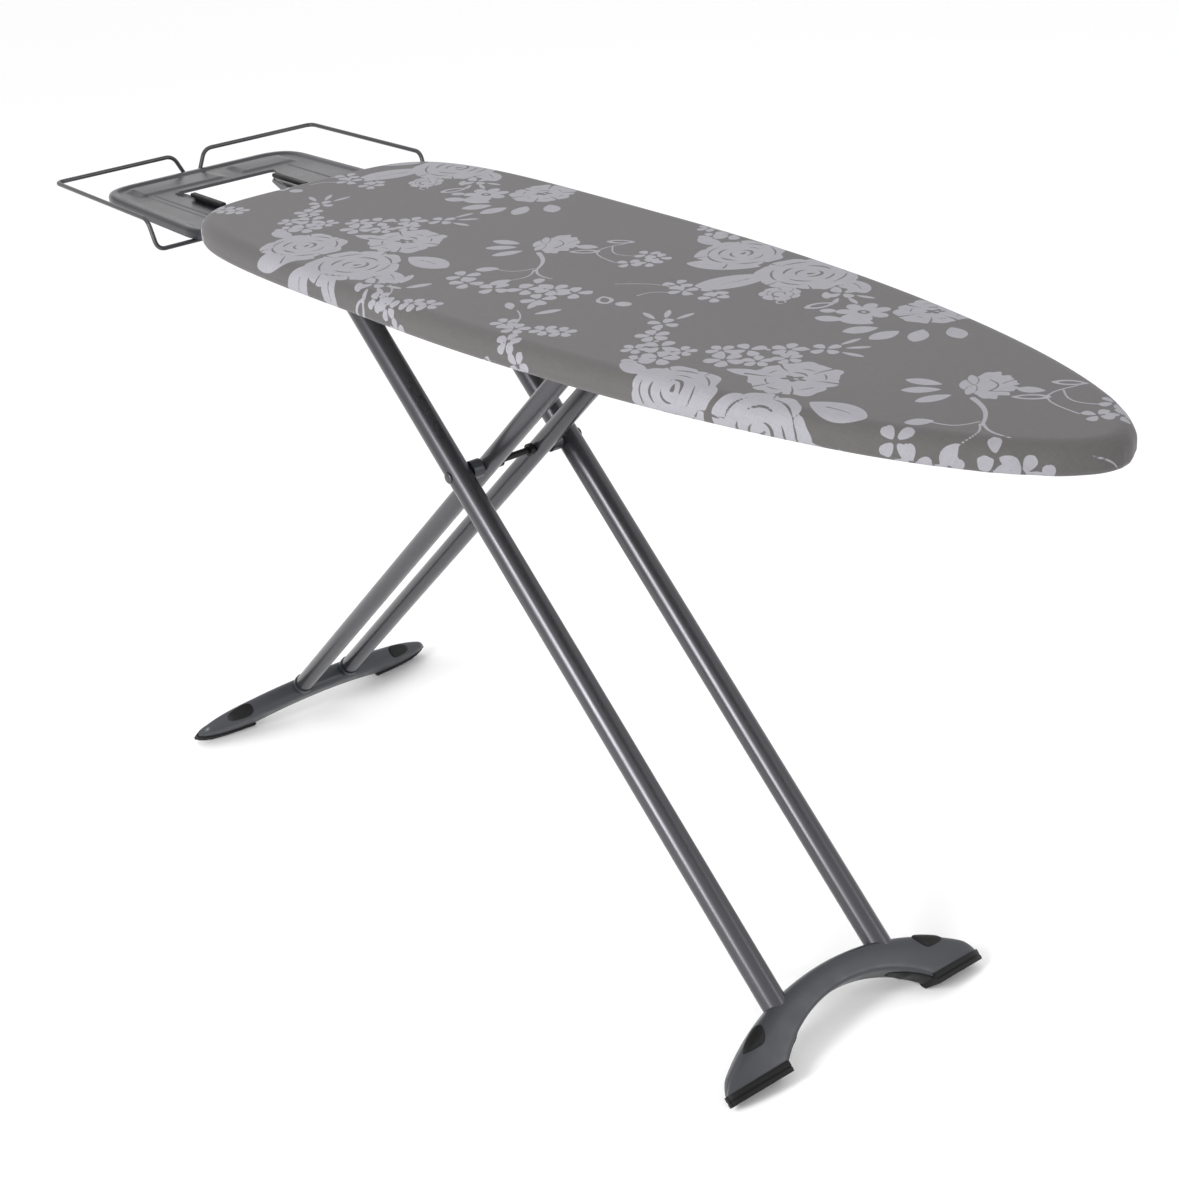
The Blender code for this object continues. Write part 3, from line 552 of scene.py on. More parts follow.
def peony(ink, at, size, turn, seed):
    """A looser bloom: a frilled outline round a dark, ragged eye."""
    rng = np.random.default_rng(seed)
    bloom_outline(ink, at, size, turn, rng, 8, 0.09)
    for base in around(turn, 6):
        way = base + rng.uniform(-0.25, 0.25)
        edge = [(size * 0.42, 0.0), (size * 0.66, size * 0.04), (size * 1.02, size * 0.03)]
        ink.cut(stroke(edge, 0.0004, 0.0016), at, way)
        line = arc(size * rng.uniform(0.52, 0.66), -0.32, 0.32)
        ink.cut(crescent(line, size * 0.020), at, way + 0.5)
    ink.cut(blob(size * 0.22, size * 0.13, 5, 0.32, 1.0), at, turn)
    ink.cut(crescent(arc(size * 0.34, -1.2, 0.4, 0.8), size * 0.03), at, turn + 1.8)
    ink.put(blob(size * 0.06, size * 0.04), at + unit(turn) * size * 0.05, turn)


def side_rose(ink, at, size, turn, seed):
    """A half-open rose seen from the side, on its calyx, with frills at its top."""
    rng = np.random.default_rng(seed)
    for step in range(6):
        way = turn + (step - 2.5) * 0.42
        shape = blob(size * 0.42, size * 0.24, 6, 0.08, rng.uniform(0.0, 6.0))
        ink.put(shape, at + unit(way) * size * 0.52, way, LINE * 0.7 if step in (2, 4) else 0.0)
    ink.put(blob(size * 0.46, size * 0.40, 3, 0.04), at + unit(turn) * size * 0.12, turn)
    ink.cut(stroke(bow((size * 0.34, -size * 0.36), (size * 0.30, size * 0.34), -0.26), 0.0011,
                   0.0007), at, turn)
    for side in (-1.0, 1.0):
        ink.put(leaf(size * 0.62, size * 0.13), at, turn + side * 1.75, LINE * 0.6)


def daisy(ink, at, size, turn, petals=7):
    for way in around(turn, petals):
        ink.put(petal(size, size * 0.34), at + unit(way) * size * 0.08, way)
    ink.put(blob(size * 0.45, size * 0.42), at, turn)
    ink.cut(blob(size * 0.26, size * 0.20), at, turn)
    ink.put(blob(size * 0.11, size * 0.08), at, turn)


def floret(ink, at, size, turn, petals=4):
    """A small blossom of separate petals."""
    for way in around(turn, petals):
        ink.put(petal(size * 0.96, size * 0.44, size * 0.13 if petals == 4 else 0.0),
                at + unit(way) * size * 0.16, way)


def hollow_leaf(ink, at, long, wide, degrees):
    """A leaf drawn as an outline."""
    turn = radians(degrees)
    ink.put(leaf(long, wide), at, turn, LINE * 0.6)
    ink.cut(leaf(long * 0.66, wide * 0.52), at + unit(turn) * long * 0.16, turn)


def veined_leaf(ink, at, long, wide, degrees):
    turn = radians(degrees)
    ink.put(leaf(long, wide), at, turn, LINE)
    ink.cut(stroke(bow((long * 0.30, 0.0), (long * 0.74, 0.0), 0.06), 0.0009, 0.0004), at, turn)


def leaves(ink, rows, gap=0.0):
    """Plain leaves, each given by its place, degrees, length and width."""
    for x, y, degrees, long, wide in rows:
        ink.put(leaf(long, wide), (x, y), radians(degrees), gap)


def florets(ink, rows, size, petals=4):
    """Small blossoms, each given by its place and turn."""
    for x, y, turn in rows:
        floret(ink, (x, y), size, turn, petals)


def bloom(ink):
    """A small open flower drawn mostly in outline, with a tendril."""
    at, size, turn = (0.0, 0.0), 0.026, 0.3
    for way in around(turn, 7):
        ink.put(blob(size * 0.30, size * 0.34), unit(way) * size * 0.55, way, LINE * 0.5)
    ink.put(blob(size * 0.52, size * 0.42), at, turn, LINE * 0.5)
    ink.cut(stroke(spiral(size * 0.36, 0.8, 0.5), 0.0007, 0.0011), at, turn)
    ink.put(stroke(spiral(size * 0.22, 0.85, 0.7), 0.0010), unit(turn - 1.0) * size, turn)


def spray(ink, places, size, turn):
    """Florets strung along places, each turned a little further, with leaves at the end."""
    places = np.array(places)
    for step, at in enumerate(places):
        floret(ink, at, size * (1.0 - 0.05 * step), turn + step * 0.9, 4 if step % 2 else 5)
    for a, b in zip(places, places[1:]):
        ink.put(blob(size * 0.16, size * 0.12), (a + b) / 2, turn)
    last, before = places[-1], places[-2]
    way = atan2(*(last - before)[::-1])
    for side in (-0.55, 0.12, 0.75):
        ink.put(leaf(size * 1.45, size * 0.22), last + unit(way + side) * size * 0.95, way + side)


def bouquet(ink):
    """The large group: three roses, leaves round them and sprays on both sides."""
    for x, y, degrees, long, wide in (
            (-0.010, -0.050, -148, 0.082, 0.021), (0.020, -0.060, -108, 0.092, 0.024),
            (0.056, -0.064, -66, 0.062, 0.015), (0.068, 0.022, 4, 0.066, 0.021),
            (0.092, -0.022, -24, 0.050, 0.015)):
        veined_leaf(ink, (x, y), long, wide, degrees)
    leaves(ink, ((-0.052, 0.030, 18, 0.045, 0.010), (-0.100, -0.026, 176, 0.040, 0.012)), LINE)
    peony(ink, (0.014, 0.054), 0.047, 0.4, 5)
    rose(ink, (-0.060, -0.032), 0.052, 1.2, 11)
    rose(ink, (0.046, -0.034), 0.056, 0.3, 23)
    spray(ink, ((-0.072, 0.046), (-0.076, 0.080), (-0.048, 0.106), (-0.022, 0.130)), 0.018, 0.3)
    florets(ink, ((-0.046, 0.064, 1.0), (-0.094, 0.062, 0.4), (-0.030, 0.088, 0.1)), 0.014, 5)
    spray(ink, ((-0.122, 0.008), (-0.146, 0.030), (-0.176, 0.046), (-0.196, 0.076)), 0.018, 0.8)
    florets(ink, ((-0.134, -0.010, 0.2), (-0.120, 0.036, 0.9), (-0.160, 0.010, 0.6)), 0.013, 5)
    spray(ink, ((0.098, -0.046), (0.120, -0.058)), 0.016, 0.5)
    leaves(ink, ((0.104, -0.066, -40, 0.022, 0.006),))
    hollow_leaf(ink, (0.136, -0.084), 0.034, 0.010, -110)


def rose_branch(ink):
    """A side-on rose on a curved stem that forks into two chains of blossom."""
    stem(ink, (0.026, -0.024), (0.075, -0.066), 0.10, 0.0030, 0.0014)
    stem(ink, (0.072, -0.062), (0.112, -0.072), -0.14, 0.0016, 0.0010)
    stem(ink, (0.068, -0.062), (0.038, -0.090), 0.20, 0.0010)
    stem(ink, (0.072, -0.066), (0.080, -0.106), 0.22, 0.0010)
    side_rose(ink, (0.004, 0.002), 0.042, radians(38), 31)
    leaves(ink, ((-0.018, -0.016, 200, 0.036, 0.009), (-0.010, -0.026, 224, 0.036, 0.009),
                 (0.006, -0.030, 250, 0.036, 0.009)))
    hollow_leaf(ink, (0.048, 0.000), 0.036, 0.008, 42)
    leaves(ink, ((0.038, -0.086, 232, 0.026, 0.009), (0.080, -0.102, 262, 0.026, 0.009)))
    florets(ink, ((0.052, -0.140, 0.6), (0.030, -0.128, 1.2), (0.090, -0.132, 0.1),
                  (0.118, -0.112, 0.9), (0.156, -0.124, 1.1), (0.168, -0.086, 0.8)), 0.0175)
    floret(ink, (0.142, -0.094), 0.0175, 0.4, 5)
    floret(ink, (0.114, -0.094), 0.0175, 0.2, 3)


def chain(ink):
    """The end of a branch: a bud, and a thin curved stem with blossom."""
    stem(ink, (-0.060, -0.012), (0.030, 0.018), 0.16, 0.0009)
    stem(ink, (-0.012, -0.022), (0.004, 0.006), 0.18, 0.0009)
    florets(ink, ((-0.008, 0.030, 0.5), (0.012, 0.020, 1.2), (0.038, 0.040, 0.2),
                  (0.052, 0.026, 0.9)), 0.0150)
    hollow_leaf(ink, (-0.038, -0.046), 0.026, 0.011, -30)
    ink.put(blob(0.009, 0.007), (-0.002, -0.048), 0.4)


def curl(ink):
    """A cluster of blossom on a forked tendril with a leaf drawn in outline."""
    stem(ink, (0.010, 0.022), (0.052, -0.042), -0.42, 0.0010)
    stem(ink, (0.004, -0.006), (0.054, -0.010), -0.26, 0.0009)
    hollow_leaf(ink, (0.010, 0.022), 0.034, 0.008, 216)
    leaves(ink, ((-0.006, -0.018, 210, 0.026, 0.009),))
    florets(ink, ((0.066, -0.034, 0.2), (0.080, -0.018, 0.9), (0.074, 0.000, 0.5),
                  (0.056, 0.000, 1.3)), 0.0140)


def posy(ink):
    """A small mixed group: a daisy, a peony and plain leaves."""
    leaves(ink, ((0.010, -0.028, 196, 0.040, 0.012), (0.022, -0.034, 240, 0.036, 0.012),
                 (0.044, -0.028, 262, 0.036, 0.012), (0.058, -0.010, 300, 0.036, 0.012),
                 (0.074, 0.012, 330, 0.034, 0.012)), LINE * 0.6)
    daisy(ink, (-0.022, -0.010), 0.026, 0.2)
    peony(ink, (0.030, 0.036), 0.040, 0.9, 41)
    leaves(ink, ((-0.020, -0.040, 205, 0.030, 0.010),))
    ink.put(blob(0.008, 0.006), (-0.052, -0.030), 0.6)


def sprig(ink):
    """A loose sprig of blossom with three buds."""
    leaves(ink, ((-0.052, 0.034, 150, 0.024, 0.006), (-0.040, 0.046, 118, 0.030, 0.006),
                 (-0.022, 0.040, 70, 0.030, 0.006)))
    stem(ink, (-0.044, 0.036), (-0.010, 0.006), 0.10, 0.0009)
    florets(ink, ((-0.022, 0.004, 0.2), (0.000, 0.000, 0.8), (0.026, 0.016, 0.4),
                  (0.044, 0.024, 1.0), (0.018, -0.024, 0.6), (0.040, -0.044, 0.1)), 0.0140, 5)
    for x, y, degrees in ((-0.004, -0.046, 250), (0.030, -0.060, 290), (0.056, -0.062, 320)):
        hollow_leaf(ink, (x, y), 0.032, 0.010, degrees)


REPEAT = np.array([0.652, -0.018])      # the print starts again this far along the board
MOTIFS = ((bouquet, (-0.190, -0.120)), (rose_branch, (-0.047, 0.028)), (chain, (0.190, 0.000)),
          (curl, (0.020, 0.078)), (posy, (-0.240, 0.120)), (bouquet, (-0.440, 0.196)),
          (sprig, (0.165, -0.168)), (sprig, (-0.010, -0.205)), (bloom, (-0.367, 0.096)))


def print_depth(cloth):
    """The print's depth at each point of the flat cloth, over three repeats."""
    ink = Print(cloth)
    for step in (-1, 0, 1):
        for motif, at in MOTIFS:
            ink.origin = at + REPEAT * step
            motif(ink)
    return ink.depth


# ---- cover --------------------------------------------------------------------------------
FLAT = 0.018                            # how far in from the edge the cover starts to round
EDGE_DOWN = 0.0155                      # and how far down its round edge reaches
HEM_INSET = 0.034                       # the hem's inner edge, from the outline
SKIN = 0.0003                           # the top lies this far under the CAD's, to sag in
LOOP_POINTS, FILL_ROWS = 1900, 112


def edge_profile():
    """The cover's section from its flat top over the edge to the hem, as inset and drop."""
    drop = TOP - HEM
    turn = np.linspace(0.0, pi / 2, 11)[1:]
    curve = np.stack([FLAT * (1.0 - np.sin(turn)), EDGE_DOWN * (1.0 - np.cos(turn))], 1)
    side = [(0.0, z) for z in np.linspace(EDGE_DOWN, drop - 0.006, 6)[1:]]
    under = [(0.0018, drop - 0.0020), (0.0055, drop - 0.0002)]
    under += [(x, drop) for x in np.linspace(0.0100, HEM_INSET, 8)]
    return np.concatenate([curve, side, under])


def gathers(loop, level):
    """How far the cloth of the edge swings in and out, strongest where the outline bends most."""
    x = loop[:, 0]
    bend = np.clip((x - 0.60) / 0.16, 0.0, 1.0) + np.clip((TAIL + 0.05 - x) / 0.05, 0.0, 1.0) * 0.5
    run = np.cumsum(np.hypot(*(loop - np.roll(loop, 1, 0)).T))
    ripple = np.sin(run * 210.0 + 2.0 * np.sin(run * 31.0)) * 0.5 + np.sin(run * 96.0) * 0.5
    soft = 0.0003 * np.sin(run * 23.0 + 1.0) * level
    return soft - 0.0007 * bend * (1.0 + ripple) * level


CREASES = (((0.757, -0.0745), 0.0016), ((0.738, -0.0890), 0.0013))    # place and depth
CREASE_WIDTH = 0.0016


def tucks(loop, level):
    """The depth of the narrow folds pressed into the edge near the nose."""
    depth = np.zeros(len(loop))
    for at, deep in CREASES:
        gap = np.hypot(*(loop - np.array(at)).T)
        depth += deep * np.exp(-(gap / CREASE_WIDTH) ** 2)
    return depth * level


def make_cover():
    """One sheet: a fine grid on top, rings over the edge, and the hem turned under the rim."""
    loop, normal = board_loop(LOOP_POINTS)
    inner = loop - normal * FLAT
    flat, faces = filled(inner, FILL_ROWS)
    soft = 0.00025 * np.sin(flat[:, 0] * 9.0 + 1.0) * np.cos(flat[:, 1] * 17.0)
    points = [raised(flat, TOP - SKIN + soft)]
    cloth = [flat]
    upper, lower = (FILL_ROWS - 1) * LOOP_POINTS, len(flat)
    edge_soft = soft[upper:upper + LOOP_POINTS]
    run, last = 0.0, (FLAT, 0.0)
    for inset, drop in edge_profile():
        run += hypot(inset - last[0], drop - last[1])
        last = (inset, drop)
        level = min(drop / EDGE_DOWN, 1.0) * (1.0 if inset < 0.006 else 0.5)
        swing = gathers(loop, level) - tucks(loop, min(drop / 0.008, 1.0))
        ring = loop - normal * inset + normal * swing[:, None]
        fade = max(0.0, 1.0 - drop / EDGE_DOWN)
        points.append(raised(ring, TOP - SKIN - drop + edge_soft * fade))
        cloth.append(inner + normal * run)
        faces += band(upper, lower, LOOP_POINTS)
        upper, lower = lower, lower + LOOP_POINTS
    cover = solid("printed_cover", np.concatenate(points), faces)
    cloth = np.concatenate(cloth)
    depth = cover.data.attributes.new("print", "FLOAT", "POINT")
    depth.data.foreach_set("value", print_depth(cloth).astype(np.float32))
    flat_place = cover.data.attributes.new("cloth", "FLOAT_VECTOR", "POINT")
    flat_place.data.foreach_set("vector", np.column_stack([cloth, np.zeros(len(cloth))])
                                .astype(np.float32).ravel())
    finished(cover, "board", "cover_fabric", ["cover"])
    make_binding()


def make_binding():
    """The elastic casing along the hem's inner edge, gathered into small puckers."""
    count, sides, puckers = 900, 10, 230
    loop, normal = board_loop(count)
    middle = loop - normal * (HEM_INSET + 0.0005)
    r = 0.0021 + 0.0006 * np.sin(np.arange(count) * 2 * pi * puckers / count)
    points = []
    for turn in circle(sides):
        out = middle + normal * (r * cos(turn))[:, None]
        points.append(raised(out, HEM + 0.0026 + r * sin(turn)))
    made = solid("hem_elastic", np.concatenate(points), tube_faces(sides, count, True))
    return finished(made, "board", "cover_fabric", look=ELASTIC)


def make_felt():
    """The pad under the cover: flat faces and a soft rolled edge."""
    count, rows, roll = 360, 26, 0.003
    loop, normal = board_loop(count)
    inner = loop - normal * (HALF_WIDTH - FELT_HIGH.y + roll)
    flat, top_faces = filled(inner, rows)
    half, middle = (FELT_HIGH.z - FELT_LOW.z) / 2, (FELT_HIGH.z + FELT_LOW.z) / 2
    points = [raised(flat, middle + half)]
    faces = list(top_faces)
    start = (rows - 1) * count
    upper, lower = start, len(flat)
    for turn in np.linspace(pi / 2, -pi / 2, 9)[1:]:
        ring = inner + normal * roll * cos(turn)
        points.append(raised(ring, middle + half * sin(turn)))
        faces += band(upper, lower, count)
        upper, lower = lower, lower + count
    keep = np.concatenate([np.arange(start), np.arange(start + count, len(flat))])
    index = {int(old): lower + new for new, old in enumerate(keep)}
    index.update({start + a: upper + a for a in range(count)})
    points.append(raised(flat[keep], middle - half))
    faces += [tuple(index[v] for v in reversed(face)) for face in top_faces]
    pad = solid("felt_pad_shape", np.concatenate(points), faces)
    finished(pad, "board", "felt", ["felt_pad"])


# ---- deck ---------------------------------------------------------------------------------
MESH_LONG, MESH_WIDE = 0.024, 0.011     # diamonds of the expanded metal
STRAND = 0.0018
MESH_INSET, BAND_INSET = 0.018, 0.024   # of the diamonds and of the plain band's inner edge
RIM_INSET = 0.0125                      # of the middle of the rim tube


def inside_board(spots, inset):
    """Which spots lie inside the outline moved in by inset."""
    along, across, length = outline_law(spots[:, 0] < WIDEST)
    t = np.abs(spots[:, 0] - WIDEST) / (length - inset)
    half = (HALF_WIDTH - inset) * np.clip(1.0 - t ** along, 0.0, 1.0) ** (1.0 / across)
    return (t < 1.0) & (np.abs(spots[:, 1]) < half)


def make_panel():
    """Expanded metal: rows of diamonds, with a plain band that is folded over the rim."""
    low, high = PANEL_LOW.z + 0.0001, PANEL_HIGH.z - 0.0001
    points, faces = [], []
    for i, px in enumerate(np.arange(TAIL, NOSE, MESH_LONG / 2)):
        for j, py in enumerate(np.arange(-HALF_WIDTH, HALF_WIDTH, MESH_WIDE / 2)):
            if (i + j) % 2:
                continue
            for side in (-1.0, 1.0):
                ends = np.array([(px, py), (px + MESH_LONG / 2, py + side * MESH_WIDE / 2)])
                if not inside_board(ends, MESH_INSET).all():
                    continue
                way = ends[1] - ends[0]
                across = np.array([-way[1], way[0]]) / np.hypot(*way) * STRAND / 2
                base = len(points)
                for z in (low, high):
                    for end in ends:
                        points += [(*(end + across), z), (*(end - across), z)]
                faces += [tuple(base + v for v in face) for face in (
                    (0, 1, 3, 2), (4, 6, 7, 5), (0, 2, 6, 4), (1, 5, 7, 3), (0, 4, 5, 1),
                    (2, 3, 7, 6))]
    panel = mesh_object("expanded_panel", points, faces, smooth=False)
    count = 360
    loop, normal = board_loop(count)
    rings = [raised(loop - normal * inset, z) for inset, z in (
        (RIM_INSET, low), (RIM_INSET, high), (BAND_INSET, high), (BAND_INSET, low))]
    edge = outward(mesh_object("panel_band", np.concatenate(rings),
                               tube_faces(4, count, True), smooth=False))
    finished(panel, "board", "painted_steel", ["top_panel"])
    finished(edge, "board", "painted_steel")


def tube_points(route, radius, sides, closed):
    """Rings of points round a route, with a frame that doesn't twist."""
    route = [Vector(p) for p in route]
    count = len(route)
    ways = []
    for step in range(count):
        before = route[step - 1] if step or closed else route[step]
        after = route[(step + 1) % count] if step < count - 1 or closed else route[step]
        ways.append((after - before).normalized())
    side = ways[0].orthogonal().normalized()
    rings = []
    for spot, way in zip(route, ways):
        side = (side - way * side.dot(way)).normalized()
        other = way.cross(side)
        rings += [spot + (side * cos(turn) + other * sin(turn)) * radius
                  for turn in circle(sides)]
    return rings


def tube(name, route, radius, sides=20, closed=False):
    return solid(name, tube_points(route, radius, sides, closed),
                 tube_faces(len(route), sides, closed), 50)


def bent(points, bend, steps=8):
    """A path whose corners are round, starting bend before each corner."""
    route = [Vector(points[0])]
    for before, corner, after in zip(points, points[1:], points[2:]):
        corner = Vector(corner)
        back, ahead = Vector(before) - corner, Vector(after) - corner
        reach = min(bend, back.length * 0.45, ahead.length * 0.45)
        start = corner + back.normalized() * reach
        end = corner + ahead.normalized() * reach
        for step in range(steps + 1):
            t = step / steps
            route.append(start * (1 - t) ** 2 + corner * 2 * t * (1 - t) + end * t ** 2)
    route.append(Vector(points[-1]))
    return route


def make_rim():
    """The closed tube round the deck, welded at the tail."""
    loop, normal = board_loop(420)
    middle = loop - normal * RIM_INSET
    z = (RIM_LOW.z + RIM_HIGH.z) / 2
    rim = tube("rim_tube", [(x, y, z) for x, y in middle], (RIM_HIGH.z - RIM_LOW.z) / 2, 20, True)
    finished(rim, "board", "painted_steel", ["rim_frame_left", "rim_frame_right"])


# ---- legs and feet ------------------------------------------------------------------------
def leg_axes(pivot, tilt):
    """A leg's own directions: down the leg and across it."""
    down = Vector((cos(tilt), 0.0, -sin(tilt)))
    return pivot, down, Vector((0.0, 1.0, 0.0)).cross(down) * -1.0


WIDE = leg_axes(AXLE, LEG_ANGLE)                    # both counted from the centre axle
NARROW = leg_axes(AXLE, pi - LEG_ANGLE)


def on_leg(leg, along, side, across):
    """A point given by its distances down a leg, along Y, and across the leg."""
    pivot, down, over = leg
    return pivot + down * along + Vector((0.0, side, 0.0)) + over * across


def make_leg_tube(name, leg, body, start, end, side, radius, flat=1.0):
    """A drawn tube with a rounded upper rim; flat squeezes it a little near the centre axle."""
    sides, rings = 44, []
    middle = list(np.linspace(start + 0.02, end - 0.02, 60))
    reach = [start, start, start + 0.0004, start + 0.0012, *middle, end - 0.0012, end]
    grow = [-0.0016, -0.0007, -0.0002] + [0.0] * (len(reach) - 3)
    for along, more in zip(reach, grow):
        press = 1.0 - (1.0 - flat) * exp(-((along / 0.075) ** 4))
        for turn in circle(sides):
            r = radius + more
            rings.append(on_leg(leg, along, side + r * press * cos(turn), r * sin(turn)))
    drawn = solid(f"{name}_drawn", rings, tube_faces(len(reach), sides), 60)
    finished(drawn, body, "painted_steel", [name])


FOOT_HALF, FOOT_BAND = 0.190, 0.031     # half the length of a foot, and its band's height
FOOT_END, SOLE_FLOOR = 0.7575, 0.0040   # where a shell ends down its leg, and above the floor
TONGUE_LAP, TONGUE_LONG = 0.004, 0.050  # how far a tongue runs under its sole, and its length
BUMPER_AT, BUMPER_HALF = 0.1335, 0.0185
TINY = 0.0002                           # keeps the ends of a section open
# each level of a sole: distance past the shell's end, overhang and depth of its scallops
SOLE_LEVELS = ((-0.0042, 0.0002, 0.0), (-0.0040, 0.0014, 0.0), (-0.0030, 0.0018, 0.0),
               (0.0016, 0.0018, 0.0), (0.0022, 0.0009, 0.0), (0.0030, 0.0009, 0.0),
               (0.0036, 0.0016, 0.3), (0.0060, 0.0014, 1.0), (0.0085, 0.0004, 1.0))


class Bow:
    """A foot: an arched shell whose section narrows to round tips.

    bow gives the top of the arch, the radii of its upper and lower edges, and its thickness.
    """

    def __init__(self, name, leg, body, bow):
        self.name, self.leg, self.body = name, leg, body
        self.top, self.over, self.under, self.thick = bow

    def edge(self, y, top, radius):
        """How far down the leg an arch of this top and radius lies at y."""
        return top + radius - sqrt(max(radius * radius - y * y, 0.0))

    def lower(self, y):
        """The shell's lower edge: the inner arch, cut off level at the sole."""
        reach = self.under * 0.999
        return min(self.edge(min(abs(y), reach), self.top + FOOT_BAND, self.under), FOOT_END)

    def half(self, y):
        """Half the thickness at y."""
        t = min(abs(y) / FOOT_HALF, 1.0)
        return self.thick / 2 * max(1.0 - t ** 5.0, 0.0) ** 0.62 + TINY

    def surface(self, y, turn, grow=0.0):
        """A point of the section at y; turn is 90 degrees on the arch's back."""
        high, low = self.edge(y, self.top, self.over), self.lower(y)
        t = max((abs(y) / FOOT_HALF - 0.93) / 0.07, 0.0)
        high += (low - high) * 0.55 * t ** 2.2
        low -= (low - high) * 0.10 * t ** 2
        power = 3.2 if sin(turn) > 0 else 7.0
        c, s = cos(turn), sin(turn)
        across = copysign(abs(c) ** (2 / power), c) * (self.half(y) + grow)
        rise = copysign(abs(s) ** (2 / power), s) * ((low - high) / 2 + grow)
        spot = on_leg(self.leg, (high + low) / 2 - rise, y, across)
        spot.z = max(spot.z, SOLE_FLOOR - grow)
        return spot

    def make(self, bumper_turn):
        self.make_shell()
        for side, label in SIDES:
            self.make_sole(side, label)
            self.make_bumper(side, label, bumper_turn)

    def make_shell(self):
        spots = FOOT_HALF * np.sin(np.linspace(-pi / 2, pi / 2, 121))
        turns = circle(48)
        points = [self.surface(float(y), turn) for y in spots for turn in turns]
        shell = solid(f"{self.name}_shell", points, tube_faces(len(spots), len(turns)), 50)
        finished(shell, self.body, "foot_shell", [self.name])

    def sole_loop(self, side, inner, grow):
        """The plan of a sole: straight across at its inner end and round at the tip."""
        t = np.linspace(0.0, pi / 2, 22)
        out = inner + (FOOT_HALF + 0.0015 - inner) * np.sin(t)
        front = [(y, self.half(max(min(y, FOOT_HALF * 0.9995), 0.0)) + grow) for y in out]
        loop = front + [(y, -w) for y, w in reversed(front)]
        return [(side * y, w) for y, w in loop]

    def make_sole(self, side, label):
        """Rubber under a tip: a lip round the shell, a groove and a scalloped tread."""
        inner = sqrt(self.under ** 2 - (self.top + FOOT_BAND + self.under - FOOT_END) ** 2)
        points, count = [], 0
        for drop, grow, scallop in SOLE_LEVELS:
            loop = self.sole_loop(side, inner - 0.0012, grow)
            count = len(loop)
            for step, (y, w) in enumerate(loop):
                dent = 0.0007 * scallop * sin(step * 1.9)
                spot = on_leg(self.leg, FOOT_END + drop, y, w + copysign(dent, w))
                spot.z = max(spot.z, 0.00005)
                points.append(spot)
        faces = tube_faces(len(SOLE_LEVELS), count)
        sole = solid(f"{self.name}_tread_{label}", points, faces, 42)
        finished(sole, self.body, "rubber", [f"{self.name}_sole_{label}"])
        self.make_tongue(side, label, inner)

    def make_tongue(self, side, label, inner):
        """The sole's thin tongue along the underside of the arch, with a small knob."""
        points, sides = [], 12
        start = inner + TONGUE_LAP
        spots = np.linspace(start, start - TONGUE_LONG, 24)
        for y in map(float, spots):
            t = (start - y) / TONGUE_LONG
            low = self.lower(y) + 0.0004
            width = self.half(y) * (0.78 - 0.45 * t ** 3)
            deep = 0.0014 * (1.0 - t ** 6) + 0.0022 * exp(-((t - 0.62) / 0.10) ** 2) + TINY
            for turn in circle(sides):
                spot = on_leg(self.leg, low + deep * sin(turn), side * y, width * cos(turn))
                spot.z = max(spot.z, 0.0001)
                points.append(spot)
        tongue = solid(f"{self.name}_tongue_{label}", points, tube_faces(len(spots), sides))
        finished(tongue, self.body, "rubber")

    def make_bumper(self, side, label, middle):
        """A rounded rubber wedge bent over the back of the bow, round the turn middle."""
        long, wide = 25, 17
        top, bottom = [], []
        for b in (-1.0 + 2.0 * i / (long - 1) for i in range(long)):
            y = side * (BUMPER_AT + BUMPER_HALF * b)
            reach = 0.62 * (1.0 - abs(b) ** 3.0) ** 0.75 * (1.0 - 0.35 * b)
            for a in (-1.0 + 2.0 * j / (wide - 1) for j in range(wide)):
                lift = 0.0021 * (1.0 - a ** 6) * (1.0 - b ** 6)
                turn = pi / 2 + middle + a * reach
                top.append(self.surface(y, turn, 0.0001 + lift))
                bottom.append(self.surface(y, turn, -0.0012))
        faces = quads(long, wide, closed=False)
        base = len(top)
        faces += [tuple(base + v for v in reversed(face)) for face in faces]
        rim = [i * wide for i in range(long)] + [(long - 1) * wide + j for j in range(1, wide)]
        rim += [i * wide + wide - 1 for i in range(long - 2, -1, -1)]
        rim += list(range(wide - 2, 0, -1))
        faces += [(a, b, base + b, base + a) for a, b in zip(rim, rim[1:] + rim[:1])]
        pad = solid(f"{self.name}_pad_{label}", top + bottom, faces, 50)
        finished(pad, self.body, "rubber", [f"{self.name}_bumper_{label}"])


def make_rivets():
    """Low domed heads on the ends of the centre axle."""
    radius, rise, rows, sides = 0.0068, 0.0022, 7, 28
    for side, label in SIDES:
        low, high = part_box(f"axle_cap_{label}")
        face = low.y if side > 0 else high.y
        rings = []
        for lean in np.linspace(0.0, pi / 2, rows + 1)[:-1]:
            r = radius * cos(lean)
            rings += [(AXLE.x + r * cos(turn), face + side * rise * sin(lean),
                       AXLE.z + r * sin(turn)) for turn in circle(sides)]
        rings.append((AXLE.x, face + side * rise, AXLE.z))
        last = (rows - 1) * sides
        faces = quads(rows, sides) + [tuple(reversed(range(sides)))]
        faces += [(last + a, last + (a + 1) % sides, last + sides) for a in range(sides)]
        rivet = solid(f"axle_rivet_{label}", rings, faces, 60)
        finished(rivet, "wide_leg", "painted_steel", [f"axle_cap_{label}"])


# top of the arch from the axle, outer and inner radius, thickness
FRONT_BOW = (0.682, 0.318, 0.165, 0.0325)
REAR_BOW = (0.699, 0.460, 0.215, 0.0275)
TUBE_TOP = -0.297                       # the upper end of every leg tube, from the axle


